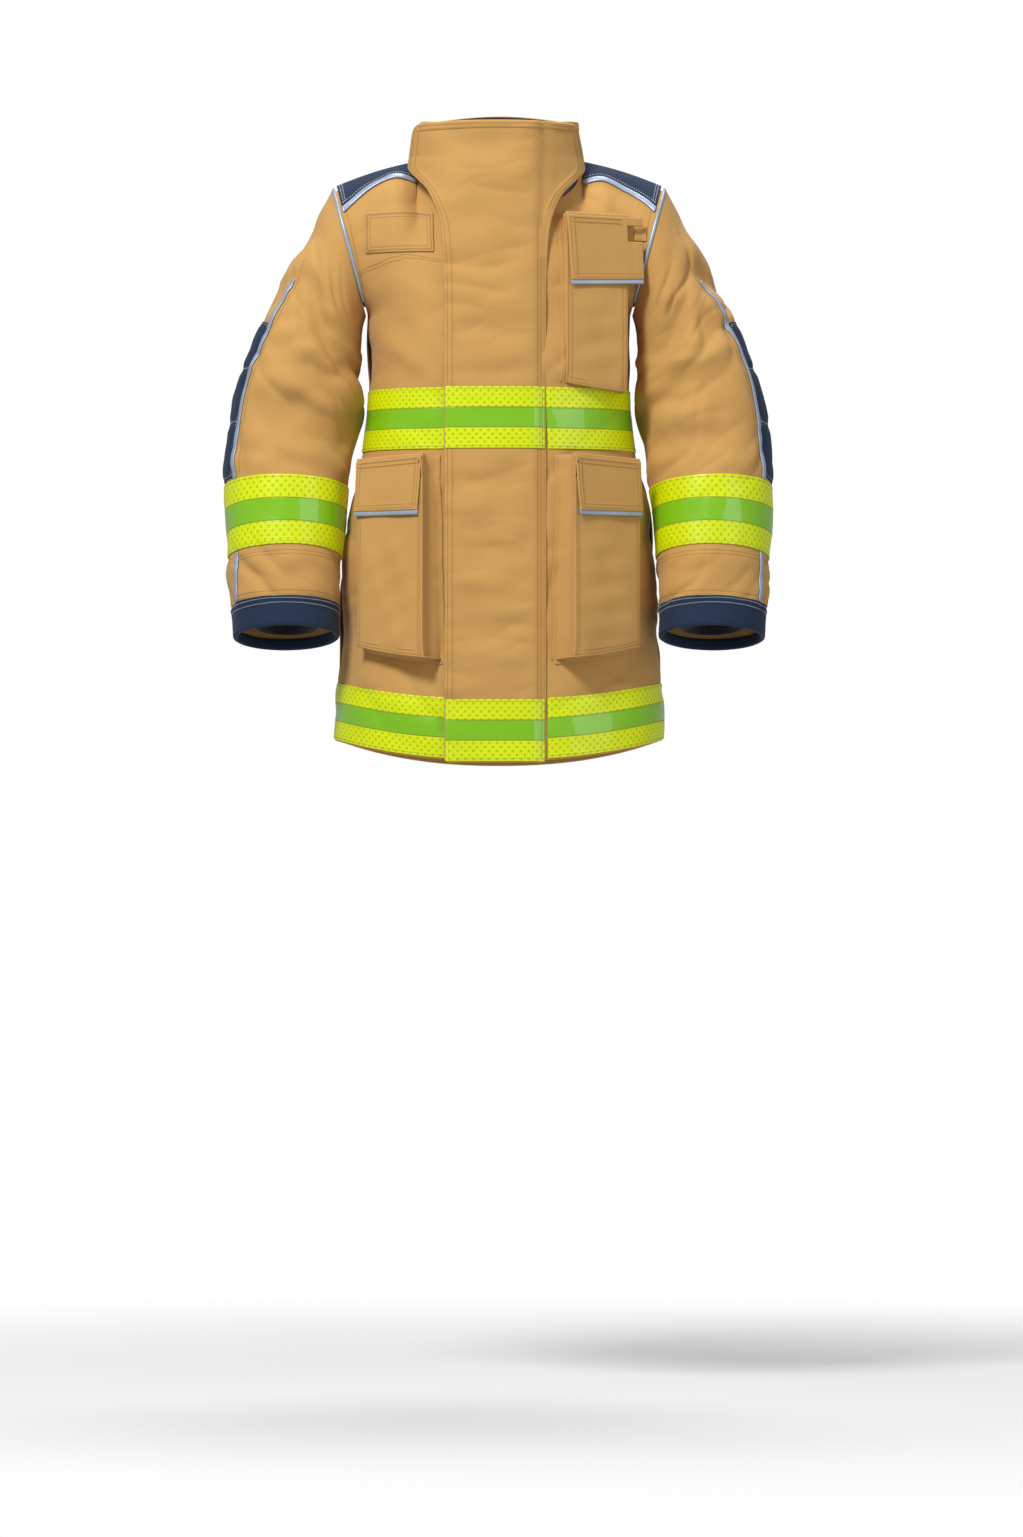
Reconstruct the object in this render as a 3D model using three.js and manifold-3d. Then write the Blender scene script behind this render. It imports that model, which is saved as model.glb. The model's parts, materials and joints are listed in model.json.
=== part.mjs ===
// A firefighter's turnout coat, built as the real garment is: outer panels, a quilted liner,
// collar, sleeves, pockets, flaps, zip, hook-and-loop, reflective bands and piping.
// Millimetres, +Z up. The wearer faces -Y and the wearer's left is +X.
// The origin is the middle of the neck at shoulder height.
import * as THREE from "three";
import { mergeVertices } from "three/addons/utils/BufferGeometryUtils.js";
import Module from "manifold-3d";

const wasm = await Module();
wasm.setup();

// ---------------------------------------------------------------- driving dimensions
const gap = 0.4; // clearance between two layers of cloth
const cloth = 2; // outer shell cloth with its facing
const trimThickness = 0.9; // reflective tape and overlays
const quilt = 3.2; // quilted liner with its moisture barrier

const coatLength = 744; // neck to front hem
const hemSideRise = 26; // how much the hem rises at the side seams
const hemBackDrop = 6; // how much the back hem hangs below the front
const armpitDrop = 185; // neck to armpit
const chestHalf = 165; // half width at the armpits
const waistHalf = 166;
const hemHalf = 206;
const shoulderHalf = 207; // half width at the shoulder tips
const shoulderDrop = 26; // neck to shoulder tip
const armholeHalfDepth = 68;
const frontAtCollar = 110; // front of the coat from the body axis, at the collar's top edge
const frontSlope = 0.05; // how far the front leans out per millimetre of drop
const backDepth = { armpit: 112, waist: 104, hip: 126, hem: 138 };
const squareness = 0.87; // power of the ring's sine and cosine; 1 is an ellipse

const neck = { halfWidth: 104, centreY: -12, back: 90, frontDrop: 60, sideRise: 5, backRise: 12 };
const collarTop = { halfWidth: 100, front: 46, side: 56, back: 72 };
const frontEdge = 0.035; // where the front panels end beside the zip, as a share of centre to side seam
const columnsAcross = [frontEdge, 0.08, 0.2, 0.34, 0.5, 0.6, 0.72, 0.82, 0.91, 0.998]; // centre to side seam
const sleeveColumns = 16; // round a sleeve

const bandWidth = 76; // reflective triple trim
const chestBandDrop = 281; // neck to the chest band's top edge

const stormFlap = {
  hinge: 58, // X of the sewn edge, on the wearer's left
  free: 65, // distance of the free edge from the centre, on the wearer's right
  wing: 105, // half width of the throat at shoulder height
  wingTop: 98, // half width of the throat at its top edge
  wingDrop: 95, // where the throat begins to widen, below the neck
  standOff: 5.6, // room for the zip and the hook-and-loop
  top: 50,
  thickness: 2.2,
  opens: 110,
};
const zip = { tapeHalf: 24, chainHalf: 3.6, slit: 1.8, chainThickness: 3, top: -66, aboveHem: 22, boxLength: 14 };
const slider = { width: 13, length: 20, plate: 1.2, neckWidth: 1, pullLength: 34, pullWidth: 9, pullThickness: 1.4 };
const hookStrip = { inner: 32, outer: 58, thickness: 1.2 };

const pocketWall = 2;
const flapThickness = 1.6;
const flapSeat = 0.5; // gap between a closed flap and its pocket
const cargo = {
  width: 104,
  height: 250,
  outerX: 176,
  turn: 38, // how far the face turns towards the side, in degrees
  slant: 1, // whether the side walls run straight back (0) or square to the face (1)
  leanFrom: 0, // the share of its height below which the face follows the coat's lean
  depth: 13, // how far the face stands off the coat where it is nearest
  skew: 20, // how much shorter the outer edge is
  clearOfFlap: 30, // from the storm flap's edge to the face
  belowBand: 13,
  header: 5,
  mouth: 26,
  flapLength: 66,
  flapOverhang: 0,
};
const radio = {
  width: 84,
  height: 208,
  outerX: 164,
  turn: 24,
  slant: 0.5,
  leanFrom: 0.25,
  depth: 7,
  skew: -9,
  inner: 84, // X of the face's inner edge
  drop: 68, // neck to the flap's hinge
  header: 5,
  mouth: 30,
  flapLength: 80,
  flapOverhang: 8,
  notchWidth: 22,
  notchLength: 44,
};
const flapPiping = 6; // reflective strip along a flap's lower edge
const flapOpens = 150;

const elbowBends = 70;
const elbowFrom = 3.7; // sleeve stations between which the cloth folds at the elbow
const elbowTo = 6.3;
const elbowAt = 5;
const cuffHeight = 36;
const sleeveBandAt = 6.62; // sleeve station of the band's upper edge
const wristlet = { length: 70, recess: 12, halfWidth: 42 };
const pipingWidth = 5;
const patch = { width: 84, height: 48, x: -124, z: -86, thickness: 1.6 };
const hangerLoop = { width: 62, drop: 16, strap: 7, thickness: 1.8 };
const micTab = { x: 176, z: -90, width: 14, height: 11, thickness: 1.6 };

// ---------------------------------------------------------------- small maths
const degrees = (angle) => (angle * Math.PI) / 180;
const mix = (a, b, k) => a + (b - a) * k;
const steps = (from, to, count) => Array.from({ length: count + 1 }, (_, i) => mix(from, to, i / count));
const within = (list, from, to) => [from, ...list.filter((k) => k > from + 1e-3 && k < to - 1e-3), to];
const clamp = (k) => Math.min(1, Math.max(0, k));
const smooth = (k) => clamp(k) ** 2 * (3 - 2 * clamp(k));
const unsmooth = (y) => 0.5 - Math.sin(Math.asin(1 - 2 * clamp(y)) / 3);
const vec = (x, y, z) => new THREE.Vector3(x, y, z);

// A smooth curve through [place, value] stations, flat beyond both ends.
function curveThrough(stations) {
  const slope = stations.map((_, i) => {
    const a = stations[Math.max(0, i - 1)];
    const b = stations[Math.min(stations.length - 1, i + 1)];
    return (b[1] - a[1]) / (b[0] - a[0]);
  });
  return (at) => {
    if (at <= stations[0][0]) return stations[0][1];
    const last = stations.length - 1;
    if (at >= stations[last][0]) return stations[last][1];
    const i = stations.findIndex((s) => s[0] > at) - 1;
    const span = stations[i + 1][0] - stations[i][0];
    const k = (at - stations[i][0]) / span;
    return hermite(stations[i][1], slope[i] * span, stations[i + 1][1], slope[i + 1] * span, k);
  };
}

function hermite(p0, t0, p1, t1, k) {
  const k2 = k * k;
  const k3 = k2 * k;
  return p0 * (2 * k3 - 3 * k2 + 1) + t0 * (k3 - 2 * k2 + k) + p1 * (3 * k2 - 2 * k3) + t1 * (k3 - k2);
}

// ---------------------------------------------------------------- the torso's outer surface
// Heights on the side seam are given as shares of the way from the armpit down to the hem.
const seamShare = (z) => (-z - armpitDrop) / (coatLength - armpitDrop);
const halfWidthAt = curveThrough([
  [0, chestHalf],
  [0.16, chestHalf - 2],
  [0.3, waistHalf + 4],
  [0.42, 0.52 * waistHalf + 0.48 * hemHalf],
  [0.6, 0.25 * waistHalf + 0.75 * hemHalf],
  [0.78, 0.1 * waistHalf + 0.9 * hemHalf],
  [1, hemHalf],
]);
const backDepthAt = curveThrough([
  [0, backDepth.armpit],
  [0.28, backDepth.waist],
  [0.7, backDepth.hip],
  [1, backDepth.hem],
]);
const frontDepthAt = (z) => frontAtCollar + (collarTop.side - z) * frontSlope;

// A point on the level ring at height z; angle 0 is the front, 90 the side, 180 the back.
function ring(angle, z) {
  const s = Math.abs(Math.sin(angle)) ** squareness;
  const c = Math.abs(Math.cos(angle)) ** squareness;
  const share = seamShare(z);
  const y = Math.cos(angle) > 0 ? -frontDepthAt(z) * c : backDepthAt(share) * c;
  return vec(halfWidthAt(share) * s, y, z);
}

function hemAt(angle) {
  const c2 = Math.cos(angle) ** 2;
  const drop = Math.cos(angle) > 0 ? 0 : hemBackDrop;
  return -coatLength + hemSideRise * (1 - c2) - drop * c2;
}

// The neckline and shoulder seam that close a panel's top; face is -1 for the front and 1 for the back.
const seamStart = 0.5; // share of centre to side where the neckline meets the shoulder seam
function topEdge(across, face) {
  if (across < seamStart) {
    const a = (across / seamStart) * (Math.PI / 2);
    const reach = face < 0 ? frontDepthAt(-neck.frontDrop) + neck.centreY : neck.back;
    const middle = face < 0 ? -neck.frontDrop : neck.backRise;
    return vec(
      neck.halfWidth * Math.sin(a),
      neck.centreY + face * reach * Math.cos(a),
      mix(middle, neck.sideRise, 1 - Math.cos(a)),
    );
  }
  const k = (across - seamStart) / (1 - seamStart);
  const arch = 3 * Math.sin(Math.PI * k);
  return vec(
    mix(neck.halfWidth, shoulderHalf, k),
    mix(neck.centreY, 0, smooth(k)),
    mix(neck.sideRise, -shoulderDrop, k) + arch,
  );
}

const chestLine = 0.72; // share of a panel's height where the side seam ends at the armpit
// The panel's surface for X > 0: across 0..1 from the centre to the side, up 0..1 from the hem to the top edge.
function panelPoint(face, across, up) {
  const angle = face < 0 ? (across * Math.PI) / 2 : Math.PI - (across * Math.PI) / 2;
  if (up <= chestLine) {
    const level = mix(-coatLength, -armpitDrop, up / chestLine);
    const belowBand = clamp((-chestBandDrop - bandWidth - level) / (coatLength - chestBandDrop - bandWidth));
    return ring(angle, level + (hemAt(angle) + coatLength) * belowBand);
  }
  const start = ring(angle, -armpitDrop);
  const end = topEdge(across, face);
  // Near the armhole the panel bows to the front and back; the bow narrows towards the armpit and the shoulder.
  const k = (up - chestLine) / (1 - chestLine);
  const bow = unsmooth(k) * (1 - unsmooth(k));
  const armhole = across ** (0.75 / (bow + 0.02));
  const onShoulder = smooth((across - 0.35) / 0.3);
  const rise = end.z - start.z;
  const inward = Math.abs(end.y - start.y);
  const leaveZ = mix(1.65 * rise, rise, armhole);
  const arriveZ = mix(mix(1.2 * rise, 0, onShoulder), rise, armhole);
  const straight = face < 0 ? frontSlope * (1 - smooth(across / 0.3)) : 0;
  const fromNeck = mix(0.3 * inward * -face, straight * arriveZ, 1 - smooth(across / 0.3));
  const arriveY = mix(fromNeck, -face * 2.1 * inward, onShoulder) * (1 - armhole);
  return vec(
    mix(hermite(start.x, 0, end.x, 0, k), mix(start.x, end.x, k), armhole),
    hermite(start.y, straight * leaveZ, end.y, arriveY, k) + face * 4 * armholeHalfDepth * armhole * bow,
    hermite(start.z, leaveZ, end.z, arriveZ, k),
  );
}

// Moves a point of a surface along its normal; turned is -1 where u and v run clockwise seen from outside.
function lifted(surface, u, v, offset, turned = 1) {
  const step = 1e-3;
  const lo = (k) => Math.max(0, k - step);
  const hi = (k) => Math.min(1, k + step);
  const du = surface(hi(u), v).sub(surface(lo(u), v));
  const dv = surface(u, hi(v)).sub(surface(u, lo(v)));
  return surface(u, v).addScaledVector(du.cross(dv).normalize(), offset * turned);
}

const mirrored = (p, side) => vec(p.x * side, p.y, p.z);

// side is 1 for the wearer's left and -1 for the right. Both panels thicken straight down at the shoulder seam.
function panelAt(side, face, across, up, offset) {
  const p = lifted((u, v) => panelPoint(face, u, v), across, up, offset, -face);
  const atSeam = smooth((up - 0.93) / 0.07) * smooth((across - 0.35) / 0.15);
  p.y = mix(p.y, panelPoint(face, across, up).y, atSeam);
  return mirrored(p, side);
}

// The place on the front panel, as [across, up], that lies at a given X and Z.
function placeOnFront(x, z) {
  let across = 0.5;
  let up = 0.6;
  for (let i = 0; i < 40; i++) {
    const p = panelPoint(-1, across, up);
    const step = 1e-4;
    const a = panelPoint(-1, across + step, up).sub(p).divideScalar(step);
    const b = panelPoint(-1, across, up + step).sub(p).divideScalar(step);
    const det = a.x * b.z - a.z * b.x;
    const dx = Math.abs(x) - p.x;
    const dz = z - p.z;
    across = Math.min(0.995, Math.max(0.001, across + (0.7 * (dx * b.z - dz * b.x)) / det));
    up = Math.min(0.995, Math.max(0.001, up + (0.7 * (a.x * dz - a.z * dx)) / det));
  }
  return [across, up];
}

function onFront(x, z, offset) {
  const [across, up] = placeOnFront(x, z);
  return panelAt(x < 0 ? -1 : 1, -1, across, up, offset);
}

// ---------------------------------------------------------------- solids
const identity = (p) => p;

// A closed slab between two offsets of a surface; loop joins its first and last columns into a tube.
// Columns and rows are counts of equal steps over 0..1, or lists of the surface's own parameters.
function slab({ at, columns: across, rows: along, low, high, loop = false, place = identity }) {
  const us = Array.isArray(across) ? across : steps(0, 1, across);
  const vs = Array.isArray(along) ? along : steps(0, 1, along);
  const columns = us.length - 1;
  const rows = vs.length - 1;
  const points = [];
  const wide = loop ? columns : columns + 1;
  const height = (value, u, v) => (typeof value === "function" ? value(u, v) : value);
  for (const face of [high, low])
    for (let j = 0; j <= rows; j++)
      for (let i = 0; i < wide; i++) {
        points.push(place(at(us[i], vs[j], height(face, us[i], vs[j]))));
      }
  const layer = wide * (rows + 1);
  const id = (face, i, j) => face * layer + j * wide + (loop ? i % columns : i);
  const faces = [];
  const quad = (a, b, c, d) => faces.push(a, b, c, a, c, d);
  for (let j = 0; j < rows; j++)
    for (let i = 0; i < columns; i++) {
      quad(id(0, i, j), id(0, i + 1, j), id(0, i + 1, j + 1), id(0, i, j + 1));
      quad(id(1, i, j), id(1, i, j + 1), id(1, i + 1, j + 1), id(1, i + 1, j));
    }
  for (let i = 0; i < columns; i++) {
    quad(id(1, i, 0), id(1, i + 1, 0), id(0, i + 1, 0), id(0, i, 0));
    quad(id(0, i, rows), id(0, i + 1, rows), id(1, i + 1, rows), id(1, i, rows));
  }
  for (let j = 0; j < rows && !loop; j++) {
    quad(id(0, 0, j), id(0, 0, j + 1), id(1, 0, j + 1), id(1, 0, j));
    quad(id(1, columns, j), id(1, columns, j + 1), id(0, columns, j + 1), id(0, columns, j));
  }
  return closedGeometry(points, faces);
}

// A closed ring: a profile of [along, offset] corners carried once round a loop.
function hoop({ at, columns, profile, place = identity }) {
  const n = profile.length;
  const points = [];
  for (let i = 0; i < columns; i++)
    for (const [along, offset] of profile) points.push(place(at(i / columns, along, offset)));
  const faces = [];
  for (let i = 0; i < columns; i++)
    for (let j = 0; j < n; j++) {
      const a = i * n + j;
      const b = i * n + ((j + 1) % n);
      const c = ((i + 1) % columns) * n + ((j + 1) % n);
      const d = ((i + 1) % columns) * n + j;
      faces.push(a, b, c, a, c, d);
    }
  return closedGeometry(points, faces);
}

function closedGeometry(points, faces) {
  let volume = 0;
  for (let i = 0; i < faces.length; i += 3)
    volume += points[faces[i]].dot(points[faces[i + 1]].clone().cross(points[faces[i + 2]]));
  if (volume < 0) for (let i = 0; i < faces.length; i += 3) [faces[i + 1], faces[i + 2]] = [faces[i + 2], faces[i + 1]];
  return new THREE.BufferGeometry().setFromPoints(points).setIndex(faces);
}

function toSolid(geometry) {
  const bare = geometry.clone();
  bare.deleteAttribute("normal");
  bare.deleteAttribute("uv");
  const merged = mergeVertices(bare, 1e-4);
  const triVerts = new Uint32Array(merged.index.array);
  const made = new wasm.Manifold(
    new wasm.Mesh({ numProp: 3, vertProperties: merged.attributes.position.array, triVerts }),
  );
  if (made.volume() > 0) return made;
  for (let i = 0; i < triVerts.length; i += 3) [triVerts[i + 1], triVerts[i + 2]] = [triVerts[i + 2], triVerts[i + 1]];
  return new wasm.Manifold(
    new wasm.Mesh({ numProp: 3, vertProperties: merged.attributes.position.array, triVerts }),
  );
}

function toGeometry(solid) {
  const mesh = solid.getMesh();
  return new THREE.BufferGeometry()
    .setAttribute("position", new THREE.BufferAttribute(new Float32Array(mesh.vertProperties), 3))
    .setIndex(new THREE.BufferAttribute(new Uint32Array(mesh.triVerts), 1));
}

function boxSolid(low, high, frame = new THREE.Matrix4()) {
  const size = high.clone().sub(low);
  const geometry = new THREE.BoxGeometry(size.x, size.y, size.z);
  geometry.translate((low.x + high.x) / 2, (low.y + high.y) / 2, (low.z + high.z) / 2);
  return toSolid(geometry.applyMatrix4(frame));
}

// A flat outline of [u, v] corners, as thick as from..to along the frame's third axis.
function plateSolid(outline, from, to, frame) {
  const shape = new THREE.Shape(outline.map(([u, v]) => new THREE.Vector2(u, v)));
  const geometry = new THREE.ExtrudeGeometry(shape, { depth: to - from, bevelEnabled: false });
  return toSolid(geometry.translate(0, 0, from).applyMatrix4(frame));
}

// ---------------------------------------------------------------- materials
const finish = (color, roughness, metalness = 0) => new THREE.MeshStandardMaterial({ color, roughness, metalness });
const tanCloth = finish(0xcda05a, 0.9);
const navyCloth = finish(0x22324a, 0.85);
const linerCloth = finish(0x23262b, 0.9);
const knitCloth = finish(0x1b1d22, 0.95);
const limeTape = finish(0xdaf000, 0.4);
const greyTape = finish(0x93a0b4, 0.5);
const hookTape = finish(0x8a6a3a, 0.95);
const zipTape = finish(0x8f6d3c, 0.9);
const zipPlastic = finish(0x1d1d1f, 0.45);
const zipMetal = finish(0x9a9a98, 0.35, 0.9);

const coat = new THREE.Group();
function add(name, geometry, material) {
  const mesh = new THREE.Mesh(geometry, material);
  mesh.name = name;
  coat.add(mesh);
  return geometry;
}
const sides = [
  ["left", 1],
  ["right", -1],
];

// ---------------------------------------------------------------- body panels and liner
const shellLayer = { low: -cloth, high: 0 };
const linerLayer = { low: -cloth - gap - quilt, high: -cloth - gap };
const rowAt = (level) => (chestLine * (level + coatLength)) / (coatLength - armpitDrop);
const hemRows = [-coatLength, -coatLength + bandWidth].map(rowAt);
const chestRows = [-chestBandDrop - bandWidth, -chestBandDrop].map(rowAt);
const panelRows = [
  0,
  ...steps(hemRows[1], chestRows[0], 4),
  ...steps(...chestRows, 2).slice(1),
  ...steps(chestRows[1], chestLine, 2).slice(1),
  ...[0.03, 0.1, 0.24, 0.4, 0.57, 0.72, 0.82, 0.91, 0.992].map((k) => mix(chestLine, 1, k)),
];
const linerRows = panelRows.slice(1);
const linerColumns = columnsAcross.slice(2); // the liner ends at the front facing

// The back is one piece from side seam to side seam; its columns run from -1 to 1.
const bothWays = (list) => [...list.map((k) => -k).reverse(), 0, ...list];
const backAt = (u, v, offset) => panelAt(u < 0 ? -1 : 1, 1, Math.abs(u), v, offset);
const backColumns = bothWays(columnsAcross.slice(1));
add("back_panel", slab({ at: backAt, columns: backColumns, rows: panelRows, ...shellLayer }), tanCloth);
add("liner_back", slab({ at: backAt, columns: backColumns, rows: linerRows, ...linerLayer }), linerCloth);
for (const [word, side] of sides) {
  const at = (u, v, offset) => panelAt(side, -1, u, v, offset);
  add(`${word}_front_panel`, slab({ at, columns: columnsAcross, rows: panelRows, ...shellLayer }), tanCloth);
  add(`liner_${word}_front`, slab({ at, columns: linerColumns, rows: linerRows, ...linerLayer }), linerCloth);
}

// ---------------------------------------------------------------- shoulder yokes
// A yoke covers the shoulder: v runs from its front edge (-1) over the seam (0) to its back edge (1).
const yokeReach = 0.0504; // share of a panel's height that it covers
const yokeColumns = within(columnsAcross, seamStart, 0.98);
const overSeam = (rows) => [...rows.map((up) => up - 1), ...rows.map((up) => 1 - up).reverse().slice(1)];
const yokeRows = overSeam([...within(panelRows, 1 - yokeReach, 0.998), 1]);
const yokeAt = (side) => (u, v, offset) => {
  const top = vec(0, 0, Math.abs(v) < 0.01 ? 0.3 : 0);
  return panelAt(side, v < 0 ? -1 : 1, u, 1 - Math.abs(v), offset).add(top);
};
for (const [word, side] of sides) {
  add(
    `${word}_shoulder_yoke`,
    slab({ at: yokeAt(side), columns: yokeColumns, rows: yokeRows, low: 3.5 * gap, high: 3.5 * gap + trimThickness }),
    navyCloth,
  );
  const pipingRows = [yokeReach + 0.012, yokeReach + 0.002].map((k) => -k);
  add(
    `${word}_yoke_piping`,
    slab({ at: yokeAt(side), columns: yokeColumns, rows: pipingRows, low: 3.5 * gap, high: 3.5 * gap + trimThickness }),
    greyTape,
  );
}

// ---------------------------------------------------------------- collar
const collarGap = 1.8; // the collar stands this far above the neckline seam
function collarPoint(u, v) {
  const angle = u * Math.PI * 2;
  const front = Math.cos(angle) > 0;
  const c = Math.cos(angle);
  const across = (Math.acos(Math.abs(c)) / (Math.PI / 2)) * seamStart;
  const base = topEdge(Math.min(across, seamStart - 1e-6), front ? -1 : 1);
  base.x *= Math.sign(Math.sin(angle)) || 1;
  base.z += collarGap;
  const topY = front ? frontAtCollar + neck.centreY : neck.back - 4;
  const height = front
    ? mix(collarTop.side, collarTop.front, c * c)
    : mix(collarTop.side, collarTop.back, c * c);
  const top = vec(collarTop.halfWidth * Math.sin(angle), neck.centreY - topY * c, height);
  return base.lerp(top, v);
}
const collarEnd = 0.022; // the collar opens this share of its way round, each side of the centre front
const collarAt = (u, v, offset) => lifted(collarPoint, mix(collarEnd, 1 - collarEnd, u), v, offset);
add("collar_shell", slab({ at: collarAt, columns: 22, rows: 3, low: -cloth, high: 0 }), tanCloth);
add(
  "collar_lining",
  slab({ at: collarAt, columns: 22, rows: 3, low: -cloth * 2 - gap, high: -cloth - gap }),
  linerCloth,
);

// A strap loop sewn inside the back of the neck, for a coat hook.
const loopTop = neck.backRise + 20;
const loopY = neck.centreY + neck.back - 4 - 2 * cloth - gap - 2.6;
const loopOutline = (half, drop) => [
  [-half, 0],
  [-half, -drop],
  [half, -drop],
  [half, 0],
];
const loopFrame = new THREE.Matrix4().makeBasis(vec(1, 0, 0), vec(0, 0, 1), vec(0, -1, 0));
loopFrame.setPosition(0, loopY, loopTop);
const loopHalf = hangerLoop.width / 2;
const hanger = plateSolid(loopOutline(loopHalf, hangerLoop.drop + hangerLoop.strap), 0, hangerLoop.strap, loopFrame)
  .subtract(plateSolid(loopOutline(loopHalf - hangerLoop.thickness, hangerLoop.drop + 5), -1, hangerLoop.strap + 1, loopFrame.clone()))
  .add(
    plateSolid(
      [
        [-loopHalf, -hangerLoop.drop - hangerLoop.strap],
        [-loopHalf, -hangerLoop.drop - 3],
        [loopHalf, -hangerLoop.drop - 3],
        [loopHalf, -hangerLoop.drop - hangerLoop.strap],
      ],
      0,
      hangerLoop.strap,
      loopFrame,
    ),
  )
  .add(
    plateSolid(
      [
        [-loopHalf, -hangerLoop.thickness],
        [-loopHalf, 0],
        [loopHalf, 0],
        [loopHalf, -hangerLoop.thickness],
      ],
      0,
      hangerLoop.strap,
      loopFrame,
    ),
  );
add("hanger_loop", toGeometry(hanger), navyCloth);

// ---------------------------------------------------------------- reflective bands on the body
// The way round the body is measured in quarter turns: 0 is the centre front, 1 the left side seam, 2 the back.
const bandLayer = { low: 1.5 * gap, high: 1.5 * gap + trimThickness };
const roundBody = [
  ...columnsAcross,
  ...columnsAcross.map((k) => 2 - k).reverse(),
  2,
  ...columnsAcross.map((k) => 2 + k),
  ...columnsAcross.map((k) => 4 - k).reverse(),
];
function aroundAt(turn, up, offset) {
  const folded = turn > 2 ? 4 - turn : turn;
  const onFrontHalf = folded < 1;
  return panelAt(turn > 2 ? -1 : 1, onFrontHalf ? -1 : 1, onFrontHalf ? folded : 2 - folded, up, offset);
}
// Each band runs from the storm flap's sewn edge, round the back, to the other front edge.
function bodyBand(rows, low, high) {
  const start = placeOnFront(stormFlap.hinge + 3, mix(-coatLength, -armpitDrop, rows[0] / chestLine))[0];
  const columns = within(roundBody, start, 4 - frontEdge - 0.004);
  return slab({ at: aroundAt, columns, rows: within(panelRows, ...rows), low, high });
}
const bands = { chest: chestRows, hem: [0.002, hemRows[1]] };
for (const [name, rows] of Object.entries(bands))
  add(`${name}_band`, bodyBand(rows, bandLayer.low, bandLayer.high), limeTape);

// The room that the bands take, with clearance, for fitting pocket walls.
const bandRoom = Object.values(bands).map((rows) => toSolid(bodyBand(rows, 0.3 * gap, bandLayer.high + gap)));

// ---------------------------------------------------------------- zip
const zipLine = (z) => vec(0, -frontDepthAt(z), z);
const zipBottom = -coatLength + zip.aboveHem;
const zipDown = zipLine(zipBottom).sub(zipLine(zip.top)).normalize();
const zipOut = vec(0, -1, 0).addScaledVector(zipDown, zipDown.y).normalize();
const zipFrame = new THREE.Matrix4().makeBasis(vec(1, 0, 0), zipDown.clone(), zipOut.clone());
zipFrame.setPosition(zipLine(zip.top));
const zipLength = zipLine(zip.top).distanceTo(zipLine(zipBottom));
const tapeLow = -cloth - gap - 1.2; // the tape lies behind the front panels' edges
const tapeHigh = -cloth - gap;
const chainLow = tapeHigh + 1.5 * gap;
const chainHigh = chainLow + zip.chainThickness;
const tapeRows = within(panelRows, placeOnFront(zip.tapeHalf, zipBottom)[1], placeOnFront(zip.tapeHalf, zip.top)[1]);
const tapeColumns = [0.003, ...columnsAcross.slice(0, 2)];
for (const [word, side] of sides) {
  const at = (u, v, offset) => panelAt(side, -1, u, v, offset);
  add(`${word}_zip_tape`, slab({ at, columns: tapeColumns, rows: tapeRows, low: tapeLow, high: tapeHigh }), zipTape);
  const chain = boxSolid(
    vec(zip.slit / 2, slider.length / 2, chainLow),
    vec(zip.chainHalf, zipLength - zip.boxLength - gap, chainHigh),
    zipFrame,
  );
  const mirror = (solid) => toGeometry(solid).applyMatrix4(new THREE.Matrix4().makeScale(side, 1, 1));
  add(`${word}_zip_chain`, toGeometry(toSolid(mirror(chain))), zipPlastic);
}
add(
  "zip_box",
  toGeometry(
    boxSolid(
      vec(-zip.chainHalf - 1, zipLength - zip.boxLength, chainLow),
      vec(zip.chainHalf + 1, zipLength, chainHigh + 0.4),
      zipFrame,
    ),
  ),
  zipPlastic,
);

// The slider: a plate before the chain, side flanges, and a lug that carries the pull.
const plateLow = chainHigh + gap;
const plateHigh = plateLow + slider.plate;
const half = slider.width / 2;
const lugHigh = plateHigh + 1.7;
const flangeStart = zip.chainHalf + gap;
let sliderBody = boxSolid(vec(-half, -slider.length / 2, plateLow), vec(half, slider.length / 2, plateHigh), zipFrame);
for (const edge of [-1, 1])
  sliderBody = sliderBody.add(
    boxSolid(
      vec(Math.min(edge * flangeStart, edge * half), -slider.length / 2, chainLow),
      vec(Math.max(edge * flangeStart, edge * half), slider.length / 2, plateLow + 0.1),
      zipFrame,
    ),
  );
sliderBody = sliderBody.add(
  boxSolid(
    vec(-slider.neckWidth / 2, -slider.length / 2, tapeHigh + gap / 2),
    vec(slider.neckWidth / 2, -slider.length / 2 + 4, plateLow + 0.1),
    zipFrame,
  ),
);
for (const edge of [-1, 1])
  sliderBody = sliderBody.add(
    boxSolid(vec(edge * 3.2 - 0.8, -2, plateHigh - 0.1), vec(edge * 3.2 + 0.8, 2, lugHigh), zipFrame),
  );
add("zip_slider", toGeometry(sliderBody), zipMetal);

// The pull hangs from the slider between its lugs.
const pullLow = plateHigh + 0.3;
const pullBody = boxSolid(
  vec(-2, -1.5, pullLow),
  vec(2, 4, pullLow + slider.pullThickness),
  zipFrame,
).add(
  boxSolid(
    vec(-slider.pullWidth / 2, 3.5, pullLow),
    vec(slider.pullWidth / 2, slider.pullLength, pullLow + slider.pullThickness),
    zipFrame,
  ),
);
add("zip_pull", toGeometry(pullBody), zipPlastic);

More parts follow.
